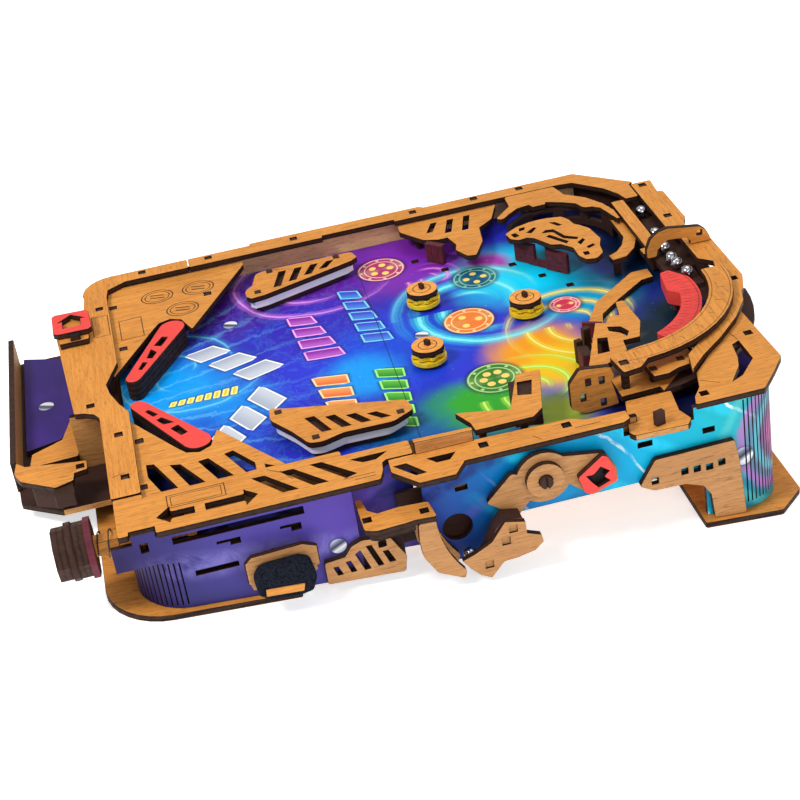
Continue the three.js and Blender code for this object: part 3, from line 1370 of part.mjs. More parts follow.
function leverAxle() {
  const hub = hubPlace();
  const outline = circle(hub.x, hub.y, axleRadius, axleSteps);
  const shaft = sidePlate(outline, axleOuterFace, [], axleOuterFace - axleInnerFace);
  const slotHalf = axleSlot / 2;
  const outside = axleOuterFace + overrun;
  const inside = axleOuterFace - overrun;
  const slot = block(inside, outside, hub.x - slotHalf, hub.x + slotHalf, hub.y - axleHead, hub.y + axleHead);
  add("lever_axle", cut(shaft, slot), materials.dark);
}

// The paddle: a dark core that carries the ball, with a wood cheek on its outer side.
const paddleCoreShares = [
  [0.502, -1.04], [0.516, -1.04], [0.531, -0.92], [0.548, -0.7], [0.563, -0.59], [0.592, -0.63], [0.592, -0.78],
  [0.575, -1.015], [0.553, -1.03], [0.531, -1.17], [0.515, -1.12],
];
const cheekShares = [
  [0.4912, -0.915], [0.514, -0.862], [0.539, -0.782], [0.563, -0.588], [0.594, -0.638], [0.594, -0.772],
  [0.616, -0.83], [0.618, -0.91], [0.604, -0.987], [0.576, -1.022], [0.554, -1.03], [0.532, -1.18],
  [0.516, -1.12], [0.502, -1.02],
];
const cheekHoleShares = [[0.574, -0.685], [0.561, -0.805], [0.531, -1.02]];
const cheekHoleDepth = 0.8;
const coreInnerFace = armFace + seatGap;
const cheekInnerFace = chuteOuterFace - ply;

function squareAt([along, height], size) {
  const half = size / 2;
  const y = fieldLength * along;
  const z = wallDepth * height;
  return rectangle(y - half, z - half, y + half, z + half);
}

function paddle() {
  const coreOuterFace = cheekInnerFace + seatGap;
  const core = sidePlate(upright(paddleCoreShares), coreOuterFace, [], coreOuterFace - coreInnerFace);
  const cheek = sidePlate(upright(cheekShares), chuteOuterFace);
  const dents = cheekHoleShares.map((place) =>
    sidePlate(squareAt(place, pinHole), chuteOuterFace + overrun, [], cheekHoleDepth + overrun));
  add("lift_paddle", cut(join(core, cheek), ...dents), materials.wood);
}

const legShares = [[0.787, -0.765], [0.8144, -0.5], [0.943, -0.49], [0.949, -0.735]];
const legInnerShares = [[0.9, -1.05], [0.888, -0.93], [0.86, -0.86], [0.81, -0.85]];
const legFootShares = { heel: 0.956, inner: 0.904 };
const legPinShares = [[0.812, -0.74], [0.86, -0.71], [0.88, -0.715], [0.9, -0.725], [0.92, -0.705]];

function legBracket() {
  const foot = groundPoints([fieldLength * legFootShares.heel, fieldLength * legFootShares.inner]);
  const outline = [...upright(legShares), ...foot, ...upright(legInnerShares)];
  const holes = legPinShares.map((place) => squareAt(place, pinSize));
  add("leg_bracket", cut(sidePlate(outline, skinFace, holes), groundCutter()), materials.wood);
}

// Steel balls: one in the channel and one on the lift.
const channelBallShares = [1.0284, -0.298];
const liftBallShares = [0.508, -0.955];
const ballDetail = 3;

function ballAt(name, x, y, z) {
  add(name, new THREE.IcosahedronGeometry(ballRadius, ballDetail).translate(x, y, z), materials.steel);
}

function balls() {
  const [along, across] = channelBallShares;
  ballAt("channel_ball", fieldWidth * across, fieldLength * along, channelFloorTop + seatGap + ballRadius);
  const middle = (coreInnerFace + cheekInnerFace) / 2;
  ballAt("lift_ball", middle, fieldLength * liftBallShares[0], wallDepth * liftBallShares[1]);
}

// Foot plates that lie level on the ground.
const footShares = { front: -0.03, middle: 0.262, back: 0.9, end: 1.076 };
const footCorners = { front: 24, back: 12 };
const footMargin = 5;
const footSteps = 8;
const footBackSteps = 1;

// A foot plate, whose near corner is round at its front or at its end.
function footPlate(name, frontShare, endShare, right, roundFront) {
  const front = fieldLength * frontShare;
  const end = fieldLength * endShare;
  const left = -farFace;
  const corner = roundFront ? footCorners.front : footCorners.back;
  const middle = right - corner;
  const nearSide = roundFront
    ? [new THREE.Vector2(right, end), ...arc(middle, front + corner, corner, 0, -quarterTurn, footSteps)]
    : [...arc(middle, end - corner, corner, quarterTurn, 0, footBackSteps), new THREE.Vector2(right, front)];
  const outline = [...nearSide, new THREE.Vector2(left, front), new THREE.Vector2(left, end)];
  add(name, plate(outline, ply), materials.wood, stand);
}

frontCrossbar();
launchCover();
nearRail();
farRail();
backCorner();
backRim();
ballChannel();
apron("far_apron", farApronShares, farApronPinShares, []);
apron("near_apron", nearApronShares, nearApronPinShares, nearApronHoleShares);
playfield();
flipper("near_flipper", 1);
flipper("far_flipper", -1);
slingshot("near_slingshot", nearSlingShares, nearSlingPinShares, nearSlotShares);
slingshot("far_slingshot", farSlingShares, farSlingPinShares, farSlotShares);
bumperShares.forEach((place, index) => bumper(index));
returnArc();
trackFloor();
redDeflector();
castle();
targets();
shield();
laneSide();
farLane();
arch();
ornateBracket();
gate();
nearFrontPanel();
nearBackPanel();
recessPanel();
farPanel();
frontBulkhead();
backBulkhead();
laneWalls();
tray();
redKey();
plunger();
plungerSpring();
flipperButton("near_button", 1);
flipperButton("far_button", -1);
decorPlate();
liftShelf();
liftChute();
leverArm();
leverAxle();
paddle();
legBracket();
balls();
footPlate("front_foot_plate", footShares.front, footShares.middle, nearFace + ply, true);
footPlate("back_foot_plate", footShares.back, footShares.end, nearFace + footMargin, false);

// The origin lies on the ground, under the middle of the whole.
const extent = new THREE.Box3().setFromObject(game, true);
const centre = extent.getCenter(new THREE.Vector3());
[board, stand].forEach((group) => group.position.add(new THREE.Vector3(-centre.x, -centre.y, -extent.min.z)));

export default game;
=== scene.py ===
import json
import math

import bmesh
import bpy
from mathutils import Euler, Matrix, Vector


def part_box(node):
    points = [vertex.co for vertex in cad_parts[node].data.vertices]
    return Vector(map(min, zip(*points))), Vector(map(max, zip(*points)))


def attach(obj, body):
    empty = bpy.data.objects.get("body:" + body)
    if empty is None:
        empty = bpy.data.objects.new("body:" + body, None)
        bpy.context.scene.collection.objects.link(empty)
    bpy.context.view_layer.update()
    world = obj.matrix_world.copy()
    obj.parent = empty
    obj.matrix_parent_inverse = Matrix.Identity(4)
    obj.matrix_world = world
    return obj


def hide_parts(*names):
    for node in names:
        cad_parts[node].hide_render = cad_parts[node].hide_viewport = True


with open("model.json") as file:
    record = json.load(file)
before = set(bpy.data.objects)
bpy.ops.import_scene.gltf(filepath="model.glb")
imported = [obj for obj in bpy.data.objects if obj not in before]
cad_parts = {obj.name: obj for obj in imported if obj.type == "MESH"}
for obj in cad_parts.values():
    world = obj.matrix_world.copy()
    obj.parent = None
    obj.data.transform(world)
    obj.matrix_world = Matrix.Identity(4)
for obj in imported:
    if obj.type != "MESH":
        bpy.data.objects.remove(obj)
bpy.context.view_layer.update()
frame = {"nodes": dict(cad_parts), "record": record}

# The case leans by this angle about the X axis, and its own frame starts at this point.
inclineDegrees = 4.5
boardOrigin = (-0.002325, -0.117728, 0.038381)
mm = 0.001
plyThickness = 2.5 * mm

boardTurn = Matrix.Rotation(math.radians(inclineDegrees), 3, "X")
boardBack = boardTurn.transposed()

tones = {
    "woodLight": (0.76, 0.315, 0.06),
    "woodDark": (0.5, 0.18, 0.028),
    "capLight": (0.95, 0.4, 0.085),
    "capDark": (0.66, 0.25, 0.042),
    # Darker copies of the wood tones, as painted shade on upright plates and on faces in shadow under the
    # plates.
    "sideInShadeLight": (0.55, 0.27, 0.1),
    "sideInShadeDark": (0.39, 0.17, 0.055),
    "wallInShadeLight": (0.64, 0.31, 0.1),
    "wallInShadeDark": (0.42, 0.18, 0.05),
    "innerLight": (0.9, 0.54, 0.26),
    "innerDark": (0.7, 0.38, 0.16),
    "burnt": (0.006, 0.003, 0.0025),
    "burntLight": (0.03, 0.013, 0.008),
    "burntCore": (0.055, 0.024, 0.014),
    "dark": (0.016, 0.007, 0.005),
    "darkLight": (0.05, 0.02, 0.014),
    "red": (0.86, 0.072, 0.06),
    "redDeep": (0.6, 0.035, 0.032),
    "maroon": (0.16, 0.024, 0.04),
    "maroonDeep": (0.06, 0.01, 0.018),
    "yellow": (1.0, 0.7, 0.005),
    "yellowDeep": (0.8, 0.5, 0.0),
    "white": (1.0, 0.98, 0.93),
    "whiteDeep": (0.8, 0.78, 0.74),
    "foam": (0.004, 0.005, 0.009),
    "foamLight": (0.014, 0.017, 0.027),
}


def toBoard(point):
    return boardBack @ (Vector(point) - Vector(boardOrigin))


def toWorld(point):
    return boardTurn @ Vector(point) + Vector(boardOrigin)


# A socket's value that can be added, multiplied and compared in plain formulas.
class Shade:
    def __init__(self, tree, socket):
        self.tree = tree
        self.socket = socket

    def join(self, operation, *others):
        node = self.tree.nodes.new("ShaderNodeMath")
        node.operation = operation
        for index, item in enumerate((self,) + others):
            setInput(self.tree, node, index, item)
        return Shade(self.tree, node.outputs[0])

    def __add__(self, other):
        return self.join("ADD", other)

    def __sub__(self, other):
        return self.join("SUBTRACT", other)

    def __mul__(self, other):
        return self.join("MULTIPLY", other)

    def __truediv__(self, other):
        return self.join("DIVIDE", other)

    def least(self, other):
        return self.join("MINIMUM", other)

    def most(self, other):
        return self.join("MAXIMUM", other)

    def size(self):
        return self.join("ABSOLUTE")

    def root(self):
        return self.join("SQRT")

    def part(self):
        return self.join("FRACT")

    def sine(self):
        return self.join("SINE")

    def cosine(self):
        return self.join("COSINE")

    def angle(self, other):
        return self.join("ARCTAN2", other)

    # Goes from 0 at low to 1 at high, and falls instead where low is the larger.
    def ramp(self, low, high, smooth=True):
        node = self.tree.nodes.new("ShaderNodeMapRange")
        node.interpolation_type = "SMOOTHSTEP" if smooth else "LINEAR"
        setInput(self.tree, node, "Value", self)
        setInput(self.tree, node, "From Min", low)
        setInput(self.tree, node, "From Max", high)
        return Shade(self.tree, node.outputs["Result"])

    # A line at one place, this wide to each side, with a soft border.
    def band(self, middle, width, soft):
        away = (self - middle).size()
        return away.ramp(width + soft, width)


def setInput(tree, node, name, value):
    if isinstance(value, Shade):
        tree.links.new(value.socket, node.inputs[name])
    elif isinstance(value, bpy.types.NodeSocket):
        tree.links.new(value, node.inputs[name])
    else:
        node.inputs[name].default_value = value


def opaque(colour):
    return (*colour, 1) if isinstance(colour, tuple) else colour


def mixColour(tree, factor, first, second):
    node = tree.nodes.new("ShaderNodeMix")
    node.data_type = "RGBA"
    node.clamp_factor = True
    setInput(tree, node, 0, factor)
    setInput(tree, node, 6, opaque(first))  # the colour inputs A and B
    setInput(tree, node, 7, opaque(second))
    return node.outputs[2]


def faded(colour, share):
    return tuple(item * share for item in colour)


def lifted(colour, step):
    return tuple(min(1.0, item + step) for item in colour)


# Distance from a place, from how far along and across it lies.
def distance(u, v):
    return (u * u + v * v).root()


# Coordinates in the leaning case's own frame, in metres.
def boardSocket(tree):
    coordinates = tree.nodes.new("ShaderNodeTexCoord")
    shift = tree.nodes.new("ShaderNodeVectorMath")
    shift.operation = "SUBTRACT"
    shift.inputs[1].default_value = boardOrigin
    turn = tree.nodes.new("ShaderNodeVectorRotate")
    turn.rotation_type = "X_AXIS"
    turn.inputs["Angle"].default_value = -math.radians(inclineDegrees)
    tree.links.new(coordinates.outputs["Object"], shift.inputs[0])
    tree.links.new(shift.outputs[0], turn.inputs["Vector"])
    return turn.outputs["Vector"]


def axes(tree, vector):
    split = tree.nodes.new("ShaderNodeSeparateXYZ")
    tree.links.new(vector, split.inputs[0])
    return [Shade(tree, split.outputs[index]) for index in range(3)]


# Places on the board in millimetres: along it from the player's end, and across it to the player's right.
def boardPlaces(tree, vector):
    x, y, _ = axes(tree, vector)
    return y / mm, x / mm


def stretched(tree, vector, scales, moved=(0, 0, 0)):
    node = tree.nodes.new("ShaderNodeMapping")
    node.inputs["Location"].default_value = moved
    node.inputs["Scale"].default_value = scales
    tree.links.new(vector, node.inputs["Vector"])
    return node.outputs["Vector"]


def noise(tree, vector, scale, detail=3.0, roughness=0.55, distortion=0.0):
    node = tree.nodes.new("ShaderNodeTexNoise")
    setInput(tree, node, "Vector", vector)
    setInput(tree, node, "Scale", scale)
    node.inputs["Detail"].default_value = detail
    node.inputs["Roughness"].default_value = roughness
    node.inputs["Distortion"].default_value = distortion
    return Shade(tree, node.outputs[0])


def bumpNode(tree, height, strength, reach):
    node = tree.nodes.new("ShaderNodeBump")
    node.inputs["Strength"].default_value = strength
    node.inputs["Distance"].default_value = reach
    setInput(tree, node, "Height", height)
    return node.outputs["Normal"]


def rampColour(tree, factor, stops):
    node = tree.nodes.new("ShaderNodeValToRGB")
    elements = node.color_ramp.elements
    while len(elements) > 1:
        elements.remove(elements[-1])
    elements[0].position = stops[0][0]
    elements[0].color = opaque(stops[0][1])
    for place, colour in stops[1:]:
        element = elements.new(place)
        element.color = opaque(colour)
    setInput(tree, node, 0, factor)
    return node.outputs[0]


def newMaterial(name):
    material = bpy.data.materials.new(name)
    material.use_nodes = True
    tree = material.node_tree
    shader = next(node for node in tree.nodes if node.type == "BSDF_PRINCIPLED")
    return material, tree, shader


# Sets the material's colour, roughness, relief and how strongly it shines.
def finish(tree, shader, base, roughness, height, bump, specular):
    setInput(tree, shader, "Base Color", base)
    setInput(tree, shader, "Roughness", roughness)
    setInput(tree, shader, "Normal", bumpNode(tree, height, *bump))
    shader.inputs["Specular IOR Level"].default_value = specular


def newGroup(name, inputs, outputs):
    group = bpy.data.node_groups.new(name, "ShaderNodeTree")
    for label, kind in inputs:
        group.interface.new_socket(name=label, in_out="INPUT", socket_type=kind)
    for label, kind in outputs:
        group.interface.new_socket(name=label, in_out="OUTPUT", socket_type=kind)
    return group, group.nodes.new("NodeGroupInput"), group.nodes.new("NodeGroupOutput")


# Places a shared group in a tree, with a value or a link for each named input.
def useGroup(tree, group, values):
    node = tree.nodes.new("ShaderNodeGroup")
    node.node_tree = group
    for label, value in values.items():
        setInput(tree, node, label, value)
    return node


grainSettings = {
    "streakScale": 900.0,
    "streakSquash": 0.06,
    "fineScale": 2400.0,
    "fineSquash": 0.09,
    "fineShift": (0.3, 0.1, 0.2),
    "cloudScale": 28.0,
    "poreLow": 0.57,
    "poreHigh": 0.67,
}


# Grain of laser-cut ply: long streaks, short dark pores and slow clouds of tone.
def makeGrainGroup():
    group, start, end = newGroup(
        "plyGrain",
        [("Vector", "NodeSocketVector")],
        [("Streak", "NodeSocketFloat"), ("Pore", "NodeSocketFloat"), ("Cloud", "NodeSocketFloat")],
    )
    vector = start.outputs["Vector"]
    settings = grainSettings
    along = stretched(group, vector, (settings["streakSquash"], 1, 1))
    streak = noise(group, along, settings["streakScale"], 4, 0.6, 0.4)
    thin = stretched(group, vector, (settings["fineSquash"], 1, 1), settings["fineShift"])
    fine = noise(group, thin, settings["fineScale"], 2, 0.5)
    setInput(group, end, "Streak", streak)
    setInput(group, end, "Pore", fine.ramp(settings["poreLow"], settings["poreHigh"]))
    setInput(group, end, "Cloud", noise(group, vector, settings["cloudScale"], 3, 0.6))
    return group


grainGroup = makeGrainGroup()


# The grain runs across the case, along x, or along it, along y.
def grain(tree, vector, direction):
    if direction == "y":
        turn = tree.nodes.new("ShaderNodeVectorRotate")
        turn.rotation_type = "Z_AXIS"
        turn.inputs["Angle"].default_value = math.radians(90)
        tree.links.new(vector, turn.inputs["Vector"])
        vector = turn.outputs["Vector"]
    node = useGroup(tree, grainGroup, {"Vector": vector})
    return [Shade(tree, node.outputs[label]) for label in ("Streak", "Pore", "Cloud")]


woodSettings = {
    "streakRange": (0.34, 0.7),
    "streakShare": 0.62,
    "cloudRange": (0.35, 0.7),
    "cloudShare": 0.3,
    "poreShare": 0.42,
    "streakHeight": 0.4,
    "poreDepth": 0.6,
    "markDepth": 2,
    "roughSpread": 0.16,
    "roughDrop": 0.04,
    "bump": (0.35, 0.00012),
    "specular": 0.22,
}


def woodMaterial(name, light, deep, direction="y", marks=None, gloss=0.48):
    material, tree, shader = newMaterial(name)
    settings = woodSettings
    vector = boardSocket(tree)
    streak, pore, cloud = grain(tree, vector, direction)
    base = mixColour(tree, streak.ramp(*settings["streakRange"]) * settings["streakShare"], light, deep)
    base = mixColour(tree, cloud.ramp(*settings["cloudRange"]) * settings["cloudShare"], base, deep)
    base = mixColour(tree, pore * settings["poreShare"], base, tones["burntCore"])
    height = streak * settings["streakHeight"] - pore * settings["poreDepth"]
    if marks:
        mask = marks(tree, vector)
        base = mixColour(tree, mask, base, tones["burnt"])
        height = height - mask * settings["markDepth"]
    roughness = streak.ramp(0, 1, False) * settings["roughSpread"] + (gloss - settings["roughDrop"])
    finish(tree, shader, base, roughness, height, settings["bump"], settings["specular"])
    return material


paintSettings = {
    "streakRange": (0.35, 0.75),
    "cloudRange": (0.4, 0.75),
    "poreShare": 0.25,
    "streakHeight": 0.4,
    "poreDepth": 0.5,
    "roughSpread": 0.14,
    "roughDrop": 0.06,
    "bump": (0.3, 0.0001),
    "specular": 0.2,
    "coatRoughness": 0.2,
}


# Painted ply whose grain still shows faintly.
def paintMaterial(name, light, deep, gloss, grainShare=0.3, coat=0.0):
    material, tree, shader = newMaterial(name)
    settings = paintSettings
    streak, pore, cloud = grain(tree, boardSocket(tree), "y")
    base = mixColour(tree, streak.ramp(*settings["streakRange"]) * grainShare, light, deep)
    base = mixColour(tree, cloud.ramp(*settings["cloudRange"]) * grainShare, base, deep)
    base = mixColour(tree, pore * settings["poreShare"], base, deep)
    height = streak * settings["streakHeight"] - pore * settings["poreDepth"]
    roughness = cloud * settings["roughSpread"] + (gloss - settings["roughDrop"])
    finish(tree, shader, base, roughness, height, settings["bump"], settings["specular"])
    shader.inputs["Coat Weight"].default_value = coat
    shader.inputs["Coat Roughness"].default_value = settings["coatRoughness"]
    return material


edgeSettings = {
    "wanderScale": 180,
    "wander": 0.06,
    "core": (0.5, 0.16, 0.1),
    "seamWidth": 0.05,
    "sootScale": 420,
    "sootRange": (0.35, 0.7),
    "sootShare": 0.7,
    "coreShare": 0.5,
    "seamShare": 0.85,
    "sootHeight": 0.5,
    "roughSpread": 0.2,
    "roughness": 0.5,
    "bump": (0.5, 0.00015),
    "specular": 0.15,
}


# A laser-cut edge: a brown core and black glue seams in each ply, all under uneven soot.
def makeEdgeGroup():
    group, start, end = newGroup(
        "burntPlies",
        [
            ("Vector", "NodeSocketVector"), ("Plies", "NodeSocketFloat"),
            ("Light", "NodeSocketColor"), ("Deep", "NodeSocketColor"),
        ],
        [("Color", "NodeSocketColor"), ("Soot", "NodeSocketFloat"), ("Height", "NodeSocketFloat")],
    )
    settings = edgeSettings
    vector, light, deep = (start.outputs[label] for label in ("Vector", "Light", "Deep"))
    wander = noise(group, vector, settings["wanderScale"], 2) * settings["wander"]
    depth = (Shade(group, start.outputs["Plies"]) + wander).part()
    width = settings["seamWidth"]
    seam = depth.band(0.0, width, width).most(depth.band(1.0, width, width))
    soot = noise(group, vector, settings["sootScale"], 4, 0.65).ramp(*settings["sootRange"])
    base = mixColour(group, soot * settings["sootShare"], light, deep)
    base = mixColour(group, depth.band(*settings["core"]) * settings["coreShare"], base, tones["burntCore"])
    setInput(group, end, "Color", mixColour(group, seam * settings["seamShare"], base, deep))
    setInput(group, end, "Soot", soot)
    setInput(group, end, "Height", soot * settings["sootHeight"] - seam)
    return group


edgeGroup = makeEdgeGroup()
edgeMaterials = {}


# A burnt cut edge whose plies are counted from a place, in metres, along one axis of the case.
def edgeMaterial(axis, start, light="burntLight", deep="burnt"):
    key = (axis, round(start, 5), light, deep)
    if key in edgeMaterials:
        return edgeMaterials[key]
    material, tree, shader = newMaterial(f"cutEdge{len(edgeMaterials) + 1}")
    settings = edgeSettings
    vector = boardSocket(tree)
    plies = (axes(tree, vector)[axis] - start) / plyThickness
    values = {"Vector": vector, "Plies": plies, "Light": opaque(tones[light]), "Deep": opaque(tones[deep])}
    edge = useGroup(tree, edgeGroup, values)
    roughness = Shade(tree, edge.outputs["Soot"]) * settings["roughSpread"] + settings["roughness"]
    height = edge.outputs["Height"]
    finish(tree, shader, edge.outputs["Color"], roughness, height, settings["bump"], settings["specular"])
    edgeMaterials[key] = material
    return material


markSettings = {"soft": 0.12, "fillRange": (0.1, -0.05), "depth": 0.9}
markLabels = ("Middle Along", "Middle Across", "Half Along", "Half Across", "Turn", "Width")


# The mask of one burnt mark on a board, with its place and half sizes in millimetres.
def makeMarkGroup(kind):
    labels = ("Along", "Across") + markLabels
    inputs = [(label, "NodeSocketFloat") for label in labels]
    group, start, end = newGroup(f"{kind}Mark", inputs, [("Mask", "NodeSocketFloat")])
    along, across, middleAlong, middleAcross, halfAlong, halfAcross, turn, width = (
        Shade(group, start.outputs[label]) for label in labels
    )
    cosine = turn.cosine()
    sine = turn.sine()
    u = (along - middleAlong) * cosine + (across - middleAcross) * sine
    v = (across - middleAcross) * cosine - (along - middleAlong) * sine
    if kind == "ellipse":
        reach = (distance(u / halfAlong, v / halfAcross) - 1) * halfAlong.least(halfAcross)
    else:
        reach = (u.size() - halfAlong).most(v.size() - halfAcross)
    if kind == "fill":
        mask = reach.ramp(*markSettings["fillRange"])
    else:
        mask = reach.band(0, width, markSettings["soft"])
    setInput(group, end, "Mask", mask)
    return group


markGroups = {kind: makeMarkGroup(kind) for kind in ("ellipse", "box", "fill")}


# Thin burnt lines on a board: each has its kind, place along and across, half sizes, turn in degrees
# and width.
def engravedLines(items):
    def marks(tree, vector):
        along, across = boardPlaces(tree, vector)
        total = None
        for kind, middleAlong, middleAcross, halfAlong, halfAcross, turn, width in items:
            sizes = (middleAlong, middleAcross, halfAlong, halfAcross, math.radians(turn), width)
            values = {"Along": along, "Across": across, **dict(zip(markLabels, sizes))}
            mask = Shade(tree, useGroup(tree, markGroups[kind], values).outputs["Mask"])
            total = mask if total is None else total.most(mask)
        return total * markSettings["depth"]

    return marks


# The board's ground colour: soft printed pools of light, each with its place along and across, reach and
# tone; the near-black pools at the back are painted shade.
pools = [
    ((14, -8), 58, (0.0, 0.34, 0.92), 0.95),
    ((40, 38), 34, (0.006, 0.08, 0.62), 0.8),
    ((60, 12), 22, (0.0, 0.3, 0.9), 0.6),
    ((52, -88), 56, (0.07, 0.008, 0.27), 0.92),
    ((112, -94), 58, (0.12, 0.012, 0.34), 0.95),
    ((98, -34), 36, (0.03, 0.012, 0.46), 0.75),
    ((154, -80), 40, (0.22, 0.02, 0.42), 0.92),
    ((126, 0), 42, (0.004, 0.07, 0.72), 0.8),
    ((108, 12), 24, (0.0, 0.42, 0.95), 0.7),
    ((196, -44), 40, (0.0, 0.68, 1.0), 0.95),
    ((183, -60), 14, (0.42, 0.01, 0.4), 0.95),
    ((214, -12), 28, (0.0, 0.4, 0.62), 0.85),
    # Painted shade: these three near-black pools stand for the shadow under the arch and the curved track.
    ((250, -40), 46, (0.0, 0.016, 0.035), 0.96),
    ((256, -80), 58, (0.002, 0.005, 0.016), 0.96),
    ((240, 40), 50, (0.0, 0.018, 0.018), 0.96),
    ((124, 70), 42, (0.002, 0.12, 0.26), 0.8),
    ((150, 56), 28, (0.03, 0.38, 0.003), 0.96),
    ((183, 26), 30, (0.88, 0.33, 0.0), 0.98),
    ((192, 42), 26, (0.9, 0.55, 0.0), 0.96),
    ((178, 74), 22, (0.3, 0.38, 0.0), 0.95),
]
groundTone = (0.016, 0.022, 0.42)

# Spiral arms of light that turn round a few places.
spirals = [
    {"place": (170, -26), "pitch": 11.5, "arms": 2, "reach": (12, 42),
     "width": 0.14, "tint": (0.06, 0.86, 1.0), "strength": 1.0},
    {"place": (156, -60), "pitch": 5.5, "arms": 1, "reach": (3, 15),
     "width": 0.1, "tint": (0.95, 0.2, 0.85), "strength": 0.8},
    {"place": (100, -88), "pitch": 13.0, "arms": 2, "reach": (8, 46),
     "width": 0.07, "tint": (0.72, 0.2, 0.98), "strength": 1.0},
    {"place": (206, 8), "pitch": 9.5, "arms": 2, "reach": (7, 36),
     "width": 0.1, "tint": (1.0, 0.8, 0.03), "strength": 0.95},
    {"place": (174, 54), "pitch": 9.5, "arms": 2, "reach": (7, 30),
     "width": 0.09, "tint": (0.55, 1.0, 0.06), "strength": 0.9},
    {"place": (34, -26), "pitch": 17.0, "arms": 2, "reach": (10, 54),
     "width": 0.05, "tint": (0.06, 0.62, 1.0), "strength": 0.6},
]

# Rows of plates: four coloured ones across the board, and pale ones in a wedge round short amber ones.
lozengeLanes = [
    {"start": (92, -52), "end": (98, -8), "count": 4, "small": 5.4, "large": 8.4,
     "fill": (0.26, 0.008, 0.36), "line": (0.9, 0.3, 0.95)},
    {"start": (117, -66), "end": (122, -12), "count": 5, "small": 4.4, "large": 6.4,
     "fill": (0.05, 0.045, 0.6), "line": (0.08, 0.6, 1.0)},
    {"start": (98, 47), "end": (96, 5), "count": 4, "small": 5.0, "large": 7.6,
     "fill": (0.86, 0.15, 0.015), "line": (1.0, 0.66, 0.25)},
    {"start": (119, 60), "end": (121, 10), "count": 5, "small": 4.2, "large": 6.2,
     "fill": (0.02, 0.26, 0.01), "line": (0.25, 0.85, 0.08)},
    {"start": (44, -42), "end": (73, -7), "count": 3, "small": 6.5, "large": 8.5,
     "fill": (0.42, 0.47, 0.58), "line": (0.96, 0.98, 1.0)},
    {"start": (44, 42), "end": (73, 7), "count": 3, "small": 6.5, "large": 8.5,
     "fill": (0.42, 0.47, 0.58), "line": (0.96, 0.98, 1.0)},
    {"start": (28, 0), "end": (58, 0), "count": 8, "small": 1.8, "large": 3.2,
     "fill": (0.85, 0.5, 0.01), "line": (1.0, 0.8, 0.1)},
]

medallions = [
    {"place": (136, -78), "radius": 11, "fill": (0.42, 0.035, 0.16), "line": (0.95, 0.5, 0.4), "pips": 5},
    {"place": (174, -50), "radius": 10, "fill": (0.012, 0.1, 0.2), "line": (0.12, 0.5, 0.36), "pips": 4},
    {"place": (162, -13), "radius": 11, "fill": (0.85, 0.2, 0.03), "line": (1.0, 0.6, 0.2), "pips": 3},
    {"place": (160, 38), "radius": 11.5, "fill": (0.035, 0.2, 0.02), "line": (0.4, 0.66, 0.2), "pips": 6},
    {"place": (204, -8), "radius": 7, "fill": (0.62, 0.03, 0.08), "line": (1.0, 0.42, 0.42), "pips": 2},
]

printedBalls = [(62, -58, 3.2), (140, -10, 3.0), (74, 38, 3.2)]


nightBlue = (0.01, 0.01, 0.04)
fieldSettings = {
    "wanderScale": 22,
    "fineScale": 90,
    "wispTone": (0.1, 0.55, 1.0),
    "wispEnd": (150, 90),
    "fanPlace": (-60, 6),
    "fanBlades": 58,
    "fanEnd": (110, 30),
    "fanTone": (0.2, 0.7, 1.0),
    "apronAcross": (46, 50),
    "shadeAcross": (66, 80),
    "shadeFront": (150, 120),
    "shadeBack": (186, 200),
    "shadeTone": (0.004, 0.004, 0.014),
    "sparkleTone": (0.75, 0.85, 1.0),
    "seamAlong": 123.4,
    "seamSlope": 0.026,
    "seamTone": (0.01, 0.01, 0.02),
    "bump": (0.12, 0.00005),
    "specular": 0.14,
}


